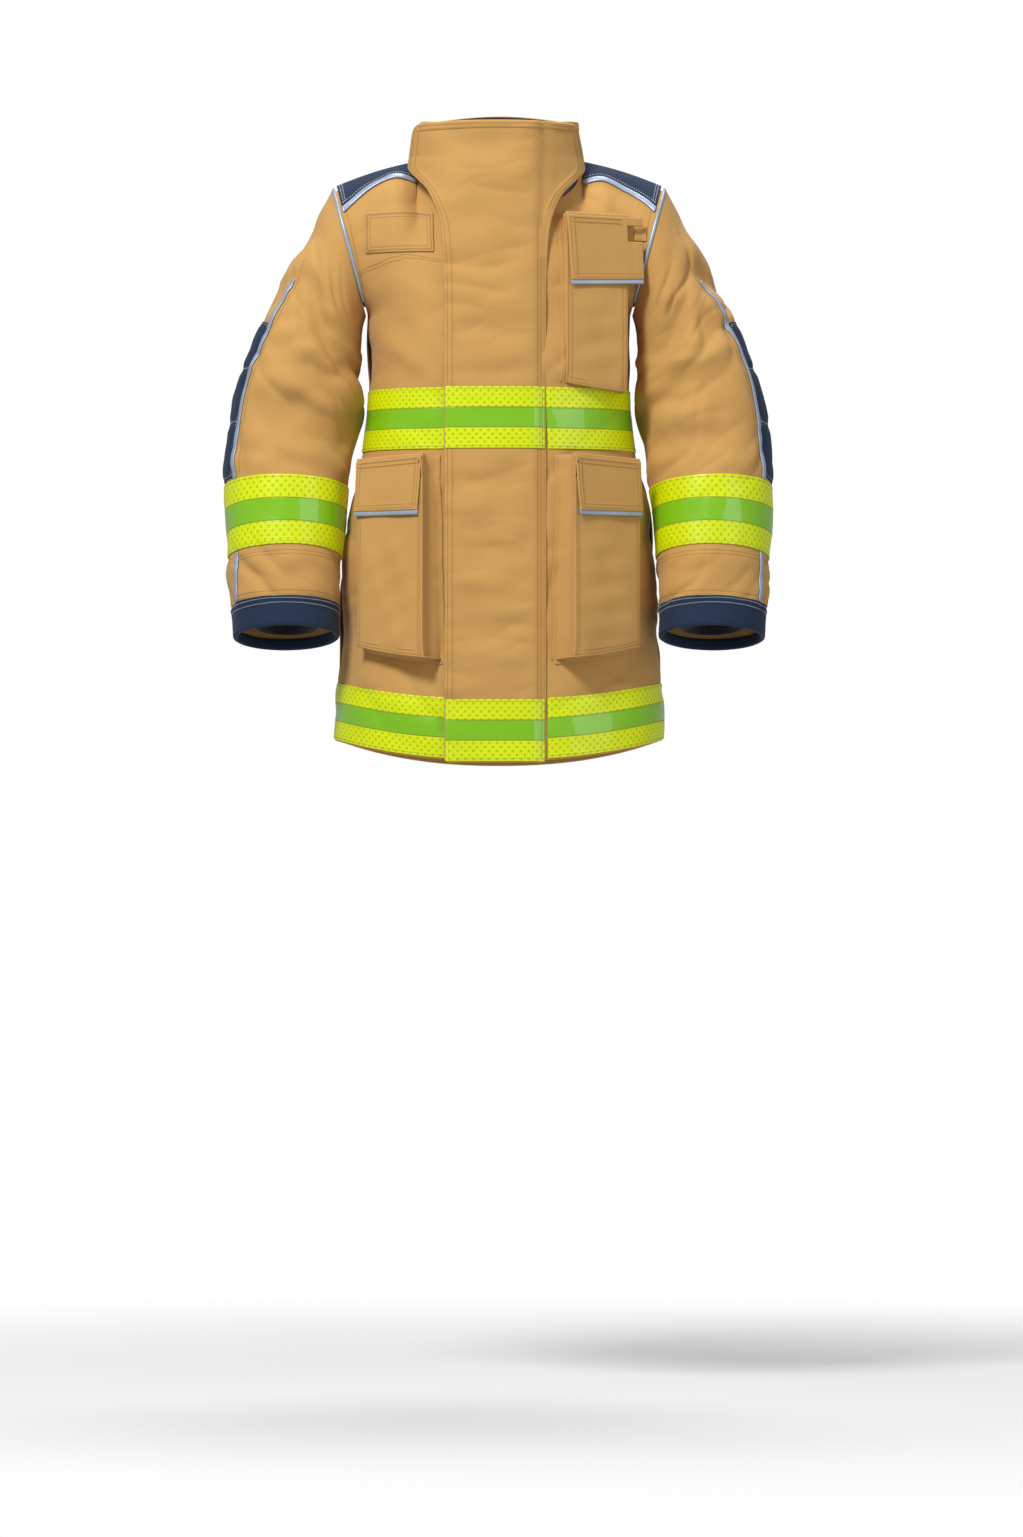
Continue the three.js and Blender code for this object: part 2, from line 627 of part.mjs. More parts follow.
// ---------------------------------------------------------------- storm flap
// The flap's surface: level with the chest below, and wrapping the collar's front at the throat.
const flapRaise = curveThrough([
  [-armpitDrop, 0],
  [-stormFlap.wingDrop, 0.2],
  [-20, 0.85],
  [10, 1],
]);
function flapSurface(x, z) {
  const wrap = flapRaise(z);
  const wide = mix(Math.max(halfWidthAt(seamShare(z)), chestHalf), stormFlap.wing + 2, wrap);
  const power = mix(2 / squareness, 2, wrap);
  const middle = mix(0, neck.centreY, wrap);
  const reach = frontDepthAt(z) + middle;
  const share = Math.min(0.99, Math.abs(x) / wide);
  return vec(x, middle - reach * (1 - share ** power) ** (1 / power), z);
}
const throat = curveThrough([
  [-stormFlap.wingDrop - 60, 0],
  [-stormFlap.wingDrop + 15, 0.1],
  [-40, 0.42],
  [-8, 1],
  [4, 1],
  [stormFlap.top, 0.84],
]);
const flapEdge = (z) => -mix(stormFlap.free, stormFlap.wing, throat(z));
const wingEdge = (z) => mix(stormFlap.hinge, stormFlap.wing, throat(z));
const flapBottom = -coatLength - 2;
function flapPoint(u, v) {
  const z = mix(flapBottom, stormFlap.top, v);
  return flapSurface(mix(flapEdge(z), stormFlap.hinge - gap, u), z);
}
const flapLayer = { low: stormFlap.standOff, high: stormFlap.standOff + stormFlap.thickness };
// The free part of the flap stands off over the zip; at the hinge it comes down to the front panel.
const sewnRise = (u) => mix(0, gap + 0.4 - stormFlap.standOff, smooth((u - 0.86) / 0.14));
const flapAt = (u, v, offset) => lifted(flapPoint, u, v, offset + sewnRise(u));
const flapColumns = [0, 0.1, 0.25, 0.5, 0.75, 0.86, 0.93, 1];
add("storm_flap", slab({ at: flapAt, columns: flapColumns, rows: 18, ...flapLayer }), tanCloth);

// The throat's fixed wing continues the flap past its hinge, sewn to the collar.
const wingSeat = -1.2;
const wingStart = -stormFlap.wingDrop + 40;
function wingPoint(u, v) {
  const z = mix(wingStart, stormFlap.top, v);
  return flapSurface(mix(stormFlap.hinge + gap, wingEdge(z), u), z);
}
const wingAt = (u, v, offset) => lifted(wingPoint, u, v, offset);
add("throat_wing", slab({ at: wingAt, columns: 4, rows: 6, low: wingSeat, high: wingSeat + stormFlap.thickness }), tanCloth);

// Reflective bands on the flap, level with those on the body.
function flapBandAt(top, bottom) {
  const point = (u, v) => flapPoint(u, (mix(bottom, top, v) - flapBottom) / (stormFlap.top - flapBottom));
  return (u, v, offset) => lifted(point, u, v, flapLayer.high + offset + sewnRise(u));
}
const flapBandColumns = [0.004, ...flapColumns.slice(1, -1), 0.975];
for (const [name, top] of [
  ["flap_chest_band", -chestBandDrop],
  ["flap_hem_band", flapBottom + bandWidth + 1],
])
  add(
    name,
    slab({ at: flapBandAt(top, top - bandWidth), columns: flapBandColumns, rows: 3, ...bandLayer }),
    limeTape,
  );

// Hook tape inside the flap's free edge, and the loop tape it closes on.
function closureAt(toward) {
  const point = (u, v) => {
    const z = mix(-coatLength + 60, -armpitDrop + 60, v);
    return flapSurface(-mix(hookStrip.outer, hookStrip.inner, u), z);
  };
  return (u, v, offset) => lifted(point, u, v, toward + offset);
}
add(
  "hook_tape",
  slab({ at: closureAt(flapLayer.low), columns: 2, rows: 12, low: -gap - hookStrip.thickness, high: -gap }),
  hookTape,
);
const loopTapePoint = (u, v) => {
  const z = mix(-coatLength + 60, -armpitDrop + 60, v);
  const [across, up] = placeOnFront(mix(hookStrip.outer, hookStrip.inner, u), z);
  return panelPoint(-1, across, up);
};
add(
  "loop_tape",
  slab({
    at: (u, v, offset) => mirrored(lifted(loopTapePoint, u, v, offset, -1), -1),
    columns: 2,
    rows: 14,
    low: bandLayer.high + gap,
    high: bandLayer.high + gap + hookStrip.thickness,
  }),
  hookTape,
);

// ---------------------------------------------------------------- pockets
// A thick block from the front panels' surface inwards, for fitting pocket walls to the coat.
function frontBlock(fromAcross, toAcross, fromUp, toUp) {
  const at = (u, v, offset) => {
    const p = panelAt(1, -1, u, v, gap);
    return offset > 0 ? p : vec(p.x, 20, p.z);
  };
  const columns = within(columnsAcross, fromAcross, toAcross);
  return toSolid(slab({ at, columns, rows: within(panelRows, fromUp, toUp), low: 0, high: 1 }));
}

// A pocket's face is the plane along the coat there that stands off it by at least the pocket's depth.
// Its frame has its origin at the top inner corner, u towards the side, v downwards, n away from the coat.
function pocketFrame(spec, innerX, topZ) {
  const reach = spec.outerX - innerX;
  const skin = (i, j) => onFront(innerX + i * reach, topZ - j * spec.height, 0);
  const down = skin(0.4, 1).sub(skin(0.4, spec.leanFrom)).normalize();
  const across = vec(Math.cos(degrees(spec.turn)), Math.sin(degrees(spec.turn)), 0);
  across.addScaledVector(down, -across.dot(down)).normalize();
  const normal = across.clone().cross(down).normalize();
  if (normal.y > 0) normal.negate();
  const origin = skin(0, 0);
  const places = steps(0, 1, 6).flatMap((i) => steps(0, 1, 8).map((j) => skin(i, j)));
  const proud = Math.max(...places.map((p) => p.sub(origin).dot(normal)));
  origin.addScaledVector(normal, proud + spec.depth);
  origin.addScaledVector(across, (innerX - origin.x) / across.x);
  return { origin, across, down, normal };
}

const pocketMatrix = ({ origin, across, down, normal }) =>
  new THREE.Matrix4().makeBasis(across, down, normal).setPosition(origin);

function pouchOutline(spec, inset, top) {
  return [
    [inset, top],
    [spec.width - inset, top],
    [spec.width - inset, spec.height - spec.skew - inset],
    [inset, spec.height - inset],
  ];
}

const blockReach = 90; // how deep a pocket's walls are drawn before the coat trims them
function pouch(spec, frame, block) {
  const back = vec(0, -1, 0).lerp(frame.normal, spec.slant).normalize();
  const m = pocketMatrix({ ...frame, normal: back });
  const walls = plateSolid(pouchOutline(spec, 0, -spec.header), -blockReach, 0, m);
  const inside = plateSolid(pouchOutline(spec, pocketWall, pocketWall), -blockReach - 1, -pocketWall, m);
  const mouth = boxSolid(
    vec(pocketWall, pocketWall, -pocketWall - 1),
    vec(spec.width - pocketWall, spec.mouth, 1),
    m,
  );
  const cut = [inside, mouth, block, ...bandRoom].reduce((solid, tool) => solid.subtract(tool), walls);
  const parts = cut.decompose().sort((a, b) => b.volume() - a.volume());
  return parts[0];
}

const flapN = flapSeat + flapThickness / 2; // the flap's mid plane, where its hinge lies
function flapSolid(spec, frame, notch) {
  const m = pocketMatrix(frame);
  const low = flapN - flapThickness / 2;
  const lean = 6; // how much the free edge is offset from the hinge
  const outline = [
    [1, 0],
    [spec.width + spec.flapOverhang - 1, 0],
    [spec.width + spec.flapOverhang + 1, spec.flapLength - 5],
    [lean, spec.flapLength],
  ];
  const sheet = plateSolid(outline, low, low + flapThickness, m);
  if (!notch) return sheet;
  return sheet.subtract(
    boxSolid(
      vec(spec.width + spec.flapOverhang - notch.width, -1, low - 1),
      vec(spec.width + spec.flapOverhang + 5, notch.length, low + flapThickness + 1),
      m,
    ),
  );
}

function flapStrip(spec, frame) {
  const m = pocketMatrix(frame);
  const low = flapN - flapThickness / 2;
  const start = spec.flapLength + gap;
  return plateSolid(
    [
      [6, start],
      [spec.width + spec.flapOverhang + 1, start - 5],
      [spec.width + spec.flapOverhang + 1, start - 5 + flapPiping],
      [6, start + flapPiping],
    ],
    low,
    low + flapThickness,
    m,
  );
}

function mirrorGeometry(solid, side) {
  const geometry = toGeometry(solid).applyMatrix4(new THREE.Matrix4().makeScale(side, 1, 1));
  return side < 0 ? toGeometry(toSolid(geometry)) : geometry;
}

const cargoInner = { 1: stormFlap.hinge + cargo.clearOfFlap + 6, [-1]: stormFlap.free + cargo.clearOfFlap };
const cargoTop = -chestBandDrop - bandWidth - cargo.belowBand;
const hipBlock = frontBlock(0.1, 0.998, 0.002, 0.7);
for (const [word, side] of sides) {
  const frame = pocketFrame(cargo, cargoInner[side], cargoTop);
  add(`${word}_cargo_pocket`, mirrorGeometry(pouch(cargo, frame, hipBlock), side), tanCloth);
  add(`${word}_cargo_flap`, mirrorGeometry(flapSolid(cargo, frame), side), tanCloth);
  add(`${word}_cargo_flap_piping`, mirrorGeometry(flapStrip(cargo, frame), side), greyTape);
}

const chestBlock = frontBlock(0.2, 0.998, 0.45, 0.998);
const radioFrame = pocketFrame(radio, radio.inner, -radio.drop);
const notch = { width: radio.notchWidth, length: radio.notchLength };
add("radio_pocket", toGeometry(pouch(radio, radioFrame, chestBlock)), tanCloth);
add("radio_pocket_flap", toGeometry(flapSolid(radio, radioFrame, notch)), tanCloth);
add("radio_flap_piping", toGeometry(flapStrip(radio, radioFrame)), greyTape);

// ---------------------------------------------------------------- patch and microphone tab
function frontPatch({ x, z, width, height, thickness }) {
  const low = placeOnFront(Math.abs(x) - width / 2, z - height / 2);
  const high = placeOnFront(Math.abs(x) + width / 2, z + height / 2);
  return slab({
    at: (u, v, offset) => panelAt(Math.sign(x), -1, u, v, offset),
    columns: within(columnsAcross, low[0], high[0]),
    rows: within(panelRows, low[1], high[1]),
    low: 2 * gap,
    high: 2 * gap + thickness,
  });
}

// The name patch is a stiff flat field, so its face is a plane.
function flatPatch({ x, z, width, height, thickness }) {
  const side = Math.sign(x);
  const spread = [-0.5, 0.5];
  const corners = spread.flatMap((i) => spread.map((j) => onFront(Math.abs(x) + i * width, z + j * height, 0)));
  const middle = corners.reduce((sum, p) => sum.add(p), vec(0, 0, 0)).divideScalar(4);
  const across = corners[2].clone().sub(corners[0]).normalize();
  const up = corners[1].clone().sub(corners[0]);
  up.addScaledVector(across, -up.dot(across)).normalize();
  const normal = across.clone().cross(up).normalize();
  if (normal.y > 0) normal.negate();
  const proud = 4;
  const frame = new THREE.Matrix4().makeBasis(across, up, normal).setPosition(middle);
  const outline = [
    [-width / 2, -height / 2],
    [width / 2, -height / 2],
    [width / 2, height / 2],
    [-width / 2, height / 2],
  ];
  const plate = plateSolid(outline, -30, proud + thickness, frame).subtract(chestBlock);
  const whole = plate.decompose().sort((a, b) => b.volume() - a.volume())[0];
  return mirrorGeometry(whole, side);
}
add("name_patch", flatPatch(patch), tanCloth);
add("microphone_tab", frontPatch(micTab), tanCloth);

// ---------------------------------------------------------------- sleeves
// Stations down the arm: outer and inner edge of the ring seen from the front, its middle's Y, its half depth
// from front to back, and how far its front is tipped up, in degrees.
const sleeveStations = [
  { outer: [shoulderHalf, -shoulderDrop], inner: [chestHalf, -armpitDrop], y: 0, half: armholeHalfDepth, tip: 0 },
  { outer: [234, -74], inner: [172, -202], y: -2, half: 71, tip: 0 },
  { outer: [258, -125], inner: [174, -216], y: -3, half: 73, tip: 0 },
  { outer: [282, -178], inner: [175, -234], y: -4, half: 75, tip: 0 },
  { outer: [307, -232], inner: [176, -262], y: -6, half: 78, tip: 2 },
  { outer: [327, -290], inner: [178, -310], y: -8, half: 80, tip: 5 },
  { outer: [338, -362], inner: [187, -370], y: -17, half: 79, tip: 9 },
  { outer: [341, -425], inner: [193, -425], y: -31, half: 76, tip: 12 },
  { outer: [337, -485], inner: [198, -483], y: -45, half: 72, tip: 13 },
  { outer: [333, -540], inner: [203, -538], y: -58, half: 68, tip: 13 },
  { outer: [330, -590], inner: [201, -588], y: -69, half: 66, tip: 13 },
];
const lastStation = sleeveStations.length - 1;
const sleeveCurve = (pick) => curveThrough(sleeveStations.map((s, i) => [i, pick(s)]));
const sleeveShape = {
  outerX: sleeveCurve((s) => s.outer[0]),
  outerZ: sleeveCurve((s) => s.outer[1]),
  innerX: sleeveCurve((s) => s.inner[0]),
  innerZ: sleeveCurve((s) => s.inner[1]),
  y: sleeveCurve((s) => s.y),
  half: sleeveCurve((s) => s.half),
  tip: sleeveCurve((s) => s.tip),
};

function sleeveEllipse(angle, station) {
  const outer = vec(sleeveShape.outerX(station), 0, sleeveShape.outerZ(station));
  const inner = vec(sleeveShape.innerX(station), 0, sleeveShape.innerZ(station));
  const middle = outer.clone().add(inner).multiplyScalar(0.5).setY(sleeveShape.y(station));
  const tip = degrees(sleeveShape.tip(station));
  const forward = vec(0, -Math.cos(tip), Math.sin(tip)).multiplyScalar(sleeveShape.half(station));
  return middle
    .addScaledVector(outer.sub(inner), 0.5 * Math.cos(angle))
    .addScaledVector(forward, Math.sin(angle));
}

// The armhole that the panels leave; angle 0 is the shoulder tip, 90 the front, 180 the armpit.
function armholePoint(angle) {
  return panelPoint(Math.sin(angle) > 0 ? -1 : 1, 1, mix(chestLine, 1, (1 + Math.cos(angle)) / 2));
}

const armholeGap = 2.4;
function sleevePoint(turn, station) {
  const angle = turn * Math.PI * 2;
  const p = sleeveEllipse(angle, station);
  const fade = Math.max(0, 1 - station) ** 2;
  if (fade > 0) p.addScaledVector(armholePoint(angle).sub(sleeveEllipse(angle, 0)), fade);
  p.x += armholeGap * Math.max(0, 1 - station);
  return p;
}
const sleeveMiddle = (station) =>
  vec(
    (sleeveShape.outerX(station) + sleeveShape.innerX(station)) / 2,
    sleeveShape.y(station),
    (sleeveShape.outerZ(station) + sleeveShape.innerZ(station)) / 2,
  );

// A point of the sleeve: turn 0..1 round it, station down it, offset outwards.
function sleeveAt(side, turn, station, offset) {
  const step = 1e-3;
  const base = Math.max(0, Math.min(lastStation, station));
  const du = sleevePoint(turn + step, base).sub(sleevePoint(turn - step, base));
  const dv = sleevePoint(turn, Math.min(lastStation, base + step)).sub(sleevePoint(turn, Math.max(0, base - step)));
  return mirrored(sleevePoint(turn, base).addScaledVector(du.cross(dv).normalize(), offset), side);
}

// Stations per millimetre of sleeve, near its lower end.
const stationLength = sleeveMiddle(lastStation).distanceTo(sleeveMiddle(lastStation - 1));
const stationsFor = (length) => length / stationLength;
const seam = stationsFor(gap);

const sleeveRows = [
  0,
  ...steps(0.22, elbowFrom, 4),
  ...steps(elbowFrom, elbowTo, 3).slice(1),
  ...steps(elbowTo, lastStation, 4).slice(1),
];
function sleeveTube(side, from, to, low, high) {
  return slab({
    at: (u, v, offset) => sleeveAt(side, u, v, offset),
    columns: sleeveColumns,
    rows: within(sleeveRows, from, to),
    low,
    high,
    loop: true,
  });
}

function sleevePatch(side, fromTurn, toTurn, from, to, low, high) {
  return slab({
    at: (u, v, offset) => sleeveAt(side, u, v, offset),
    columns: within(steps(-1, 1, 2 * sleeveColumns), fromTurn, toTurn),
    rows: within(sleeveRows, from, to),
    low,
    high,
  });
}

const sleeveBandEnd = sleeveBandAt + stationsFor(bandWidth);
const padTurns = [0.085, -0.21]; // from the front piping round to the back
const padStations = [3.35, 6.55];
for (const [word, side] of sides) {
  add(`${word}_upper_sleeve`, sleeveTube(side, 0, elbowFrom - seam, -cloth, 0), tanCloth);
  add(`${word}_elbow_section`, sleeveTube(side, elbowFrom, elbowTo, -cloth, 0), tanCloth);
  add(`${word}_forearm_sleeve`, sleeveTube(side, elbowTo + seam, lastStation, -cloth, 0), tanCloth);
  const linerEnd = lastStation - stationsFor(wristlet.length + wristlet.recess) - seam;
  add(
    `${word}_sleeve_liner`,
    sleeveTube(side, 0.22, linerEnd, -cloth - gap - quilt, -cloth - gap),
    linerCloth,
  );
  add(
    `${word}_elbow_pad`,
    sleevePatch(side, padTurns[1], padTurns[0], padStations[0], padStations[1], 1.5 * gap, 1.5 * gap + trimThickness),
    navyCloth,
  );
  add(
    `${word}_sleeve_piping`,
    sleevePatch(side, padTurns[0] + 0.003, padTurns[0] + 0.014, 2.2, sleeveBandAt - seam, 1.5 * gap, 1.5 * gap + trimThickness),
    greyTape,
  );
  add(
    `${word}_sleeve_band`,
    sleeveTube(side, sleeveBandAt, sleeveBandEnd, 1.5 * gap, 1.5 * gap + trimThickness),
    limeTape,
  );
  // The cuff binding wraps the sleeve's end: outside, under the edge, and inside.
  const cuffStart = lastStation - stationsFor(cuffHeight);
  const binding = 1.4;
  const inset = -cloth - gap - binding;
  add(
    `${word}_cuff_binding`,
    hoop({
      at: (u, along, offset) => {
        const station = lastStation + stationsFor(along);
        const p = sleeveAt(side, u, Math.min(lastStation, station), offset);
        const beyond = Math.max(0, station - lastStation);
        const down = sleeveMiddle(lastStation).sub(sleeveMiddle(lastStation - 1)).multiplyScalar(beyond);
        return p.add(mirrored(down, side));
      },
      columns: sleeveColumns,
      profile: [
        [-cuffHeight, 1.5 * gap],
        [-cuffHeight, 1.5 * gap + binding],
        [gap + binding, 1.5 * gap + binding],
        [gap + binding, inset],
        [-cuffHeight / 3, inset],
        [-cuffHeight / 3, inset + binding],
        [gap, inset + binding],
        [gap, 1.5 * gap],
      ],
    }),
    navyCloth,
  );
  // The knitted wristlet is sewn to the liner's end and narrows to the wrist.
  const knit = 1.8;
  const narrow = (v) => mix(-cloth - gap - quilt - gap, wristlet.halfWidth - 66, smooth(v));
  add(
    `${word}_wristlet`,
    slab({
      at: (u, v, offset) => sleeveAt(side, u, mix(linerEnd - 0.12, lastStation - stationsFor(wristlet.recess), v), offset),
      columns: sleeveColumns,
      rows: 4,
      low: (u, v) => narrow(v) - knit,
      high: (u, v) => narrow(v),
      loop: true,
    }),
    knitCloth,
  );
  // Reflective piping covers the armhole seam, from shoulder to armpit; v is 0 on the panel and 1 on the sleeve.
  const cord = 1.3;
  const pipingAt = (turn, v, offset) => {
    const onSleeve = sleeveAt(side, turn, 0.07, offset);
    if (v > 0.9) return onSleeve;
    const rise = (1 + Math.cos(turn * Math.PI * 2)) / 2;
    const onPanel = panelAt(side, turn > 0 ? -1 : 1, 0.985, mix(chestLine, 0.998, rise), offset + 3 * gap);
    if (v < 0.1) return onPanel;
    return onPanel.lerp(sleeveAt(side, turn, 0, offset), 0.6).add(mirrored(vec(0.6, 0, 0.6), side));
  };
  add(
    `${word}_armhole_piping`,
    slab({ at: pipingAt, columns: within(steps(-1, 1, 32), -0.4, 0.4), rows: 2, low: 6 * gap, high: 6 * gap + cord }),
    greyTape,
  );
}

export default coat;
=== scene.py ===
import json
import math

import bpy
import numpy as np
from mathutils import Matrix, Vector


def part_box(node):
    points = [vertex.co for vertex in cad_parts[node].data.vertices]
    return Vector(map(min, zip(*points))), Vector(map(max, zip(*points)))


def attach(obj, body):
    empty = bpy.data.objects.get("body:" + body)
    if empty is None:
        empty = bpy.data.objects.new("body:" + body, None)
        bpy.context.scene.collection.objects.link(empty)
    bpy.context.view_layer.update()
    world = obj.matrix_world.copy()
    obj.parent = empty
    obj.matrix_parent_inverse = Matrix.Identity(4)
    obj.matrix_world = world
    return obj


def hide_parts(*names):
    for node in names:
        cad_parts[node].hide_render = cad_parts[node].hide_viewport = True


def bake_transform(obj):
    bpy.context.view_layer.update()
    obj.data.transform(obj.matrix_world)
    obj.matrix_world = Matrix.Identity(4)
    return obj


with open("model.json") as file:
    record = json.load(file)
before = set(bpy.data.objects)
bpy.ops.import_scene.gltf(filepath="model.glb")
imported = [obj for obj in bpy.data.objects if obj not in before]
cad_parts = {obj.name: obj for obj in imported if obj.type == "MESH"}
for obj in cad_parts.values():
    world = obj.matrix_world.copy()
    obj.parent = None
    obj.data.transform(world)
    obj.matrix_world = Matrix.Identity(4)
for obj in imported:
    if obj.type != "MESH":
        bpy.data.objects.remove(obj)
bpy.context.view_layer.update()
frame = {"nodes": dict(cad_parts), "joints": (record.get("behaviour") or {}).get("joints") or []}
print("frame loaded")

# All shapes are worked out in millimetres, and meshes are written in metres.
coat = {
    "length": 744,            # neck to front hem
    "hemSideRise": 26,
    "hemBackDrop": 6,
    "armpitDrop": 185,
    "chestHalf": 165,
    "waistHalf": 166,
    "hemHalf": 206,
    "shoulderHalf": 207,
    "shoulderDrop": 26,
    "armholeHalfDepth": 68,
    "frontAtCollar": 110,
    "frontSlope": 0.05,       # how far the front leans out per millimetre of drop
    "squareness": 0.87,
    "chestLine": 0.72,        # share of a panel's height where the armhole begins
    "seamStart": 0.5,         # share of centre to side where the shoulder seam begins
    "neckHalf": 104,
    "neckMiddle": -12,
    "neckBack": 90,
    "bandWidth": 76,
    "chestBandDrop": 281,
}
words = {1: "left", -1: "right"}    # the wearer's sides, by the sign of x
shellLayer = (-2.0, 0.0)            # how far in and out of its surface the outer cloth lies


def mix(a, b, k):
    return a + (b - a) * k


def clamp(k):
    return np.clip(k, 0.0, 1.0)


def smooth(k):
    k = clamp(k)
    return k * k * (3 - 2 * k)


def unsmooth(y):
    return 0.5 - np.sin(np.arcsin(1 - 2 * clamp(y)) / 3)


def hermite(p0, t0, p1, t1, k):
    k2, k3 = k * k, k * k * k
    return p0 * (2 * k3 - 3 * k2 + 1) + t0 * (k3 - 2 * k2 + k) + p1 * (3 * k2 - 2 * k3) + t1 * (k3 - k2)


def curveThrough(stations):
    # a smooth curve through (place, value) pairs, flat beyond both ends
    places = np.array([s[0] for s in stations], float)
    values = np.array([s[1] for s in stations], float)
    slopes = np.array([
        (values[min(i + 1, len(values) - 1)] - values[max(i - 1, 0)])
        / (places[min(i + 1, len(values) - 1)] - places[max(i - 1, 0)])
        for i in range(len(values))
    ])

    def curve(at):
        at = np.clip(np.asarray(at, float), places[0], places[-1])
        i = np.clip(np.searchsorted(places, at, side="right") - 1, 0, len(places) - 2)
        span = places[i + 1] - places[i]
        start, end = slopes[i] * span, slopes[i + 1] * span
        return hermite(values[i], start, values[i + 1], end, (at - places[i]) / span)
    return curve


def spot(x, y, z):
    return np.stack(np.broadcast_arrays(np.asarray(x, float), y, z), axis=-1)


def unit(v):
    return v / np.maximum(np.linalg.norm(v, axis=-1, keepdims=True), 1e-9)


# the coat's body: level rings from hem to armpits, then a surface up to the neckline and shoulders
halfWidthAt = curveThrough([
    (0, coat["chestHalf"]),
    (0.16, coat["chestHalf"] - 2),
    (0.3, coat["waistHalf"] + 4),
    (0.42, mix(coat["waistHalf"], coat["hemHalf"], 0.48)),
    (0.6, mix(coat["waistHalf"], coat["hemHalf"], 0.75)),
    (0.78, mix(coat["waistHalf"], coat["hemHalf"], 0.9)),
    (1, coat["hemHalf"]),
])
backDepthAt = curveThrough([(0, 112), (0.28, 104), (0.7, 126), (1, 138)])


def seamShare(z):
    return (-z - coat["armpitDrop"]) / (coat["length"] - coat["armpitDrop"])


def frontDepthAt(z):
    return coat["frontAtCollar"] + (56 - z) * coat["frontSlope"]


def ring(angle, z):
    s = np.abs(np.sin(angle)) ** coat["squareness"]
    c = np.abs(np.cos(angle)) ** coat["squareness"]
    share = seamShare(z)
    y = np.where(np.cos(angle) > 0, -frontDepthAt(z) * c, backDepthAt(share) * c)
    return spot(halfWidthAt(share) * s, y, z)


def hemAt(angle):
    c2 = np.cos(angle) ** 2
    drop = np.where(np.cos(angle) > 0, 0, coat["hemBackDrop"])
    return -coat["length"] + coat["hemSideRise"] * (1 - c2) - drop * c2


def topEdge(across, face):
    # the neckline, then the shoulder seam; face is -1 for the front and 1 for the back
    a = np.minimum(across / coat["seamStart"], 1) * math.pi / 2
    reach = frontDepthAt(-60) + coat["neckMiddle"] if face < 0 else coat["neckBack"]
    middle = -60 if face < 0 else 12
    neckline = spot(
        coat["neckHalf"] * np.sin(a),
        coat["neckMiddle"] + face * reach * np.cos(a),
        mix(middle, 5, 1 - np.cos(a)),
    )
    k = clamp((across - coat["seamStart"]) / (1 - coat["seamStart"]))
    shoulder = spot(
        mix(coat["neckHalf"], coat["shoulderHalf"], k),
        mix(coat["neckMiddle"], 0, smooth(k)),
        mix(5, -coat["shoulderDrop"], k) + 3 * np.sin(math.pi * k),
    )
    return np.where((across < coat["seamStart"])[..., None], neckline, shoulder)


def panelPoint(face, across, up):
    across, up = np.broadcast_arrays(np.asarray(across, float), np.asarray(up, float))
    across = np.maximum(across, 1e-4)
    quarter = across * math.pi / 2
    angle = quarter if face < 0 else math.pi - quarter
    line = coat["chestLine"]
    level = mix(-coat["length"], -coat["armpitDrop"], np.minimum(up / line, 1))
    bandFoot = -coat["chestBandDrop"] - coat["bandWidth"]
    belowBand = clamp((bandFoot - level) / (coat["length"] + bandFoot))
    low = ring(angle, level + (hemAt(angle) + coat["length"]) * belowBand)
    start = ring(angle, np.full_like(across, -coat["armpitDrop"]))
    end = topEdge(across, face)
    k = clamp((up - line) / (1 - line))
    bow = unsmooth(k) * (1 - unsmooth(k))
    armhole = across ** (0.75 / (bow + 0.02))
    onShoulder = smooth((across - 0.35) / 0.3)
    rise = end[..., 2] - start[..., 2]
    inward = np.abs(end[..., 1] - start[..., 1])
    leaveZ = mix(1.65 * rise, rise, armhole)
    arriveZ = mix(mix(1.2 * rise, 0, onShoulder), rise, armhole)
    straight = coat["frontSlope"] * (1 - smooth(across / 0.3)) if face < 0 else 0
    fromNeck = mix(0.3 * inward * -face, straight * arriveZ, 1 - smooth(across / 0.3))
    arriveY = mix(fromNeck, -face * 2.1 * inward, onShoulder) * (1 - armhole)
    high = spot(
        mix(hermite(start[..., 0], 0, end[..., 0], 0, k), mix(start[..., 0], end[..., 0], k), armhole),
        hermite(start[..., 1], straight * leaveZ, end[..., 1], arriveY, k)
        + face * 4 * coat["armholeHalfDepth"] * armhole * bow,
        hermite(start[..., 2], leaveZ, end[..., 2], arriveZ, k),
    )
    return np.where((up <= line)[..., None], low, high)


def rowAt(level):
    return coat["chestLine"] * (level + coat["length"]) / (coat["length"] - coat["armpitDrop"])


def placeOnFront(x, z):
    # the place (across, up) on a front panel that lies at a given distance from the centre and height
    x, z = np.broadcast_arrays(np.abs(np.asarray(x, float)), np.asarray(z, float))
    across, up = np.full(x.shape, 0.5), np.full(x.shape, 0.6)
    step = 1e-4
    for _ in range(40):
        p = panelPoint(-1, across, up)
        a = (panelPoint(-1, across + step, up) - p) / step
        b = (panelPoint(-1, across, up + step) - p) / step
        det = a[..., 0] * b[..., 2] - a[..., 2] * b[..., 0]
        dx, dz = x - p[..., 0], z - p[..., 2]
        across = np.clip(across + 0.7 * (dx * b[..., 2] - dz * b[..., 0]) / det, 0.001, 0.995)
        up = np.clip(up + 0.7 * (a[..., 0] * dz - a[..., 2] * dx) / det, 0.001, 0.995)
    return across, up


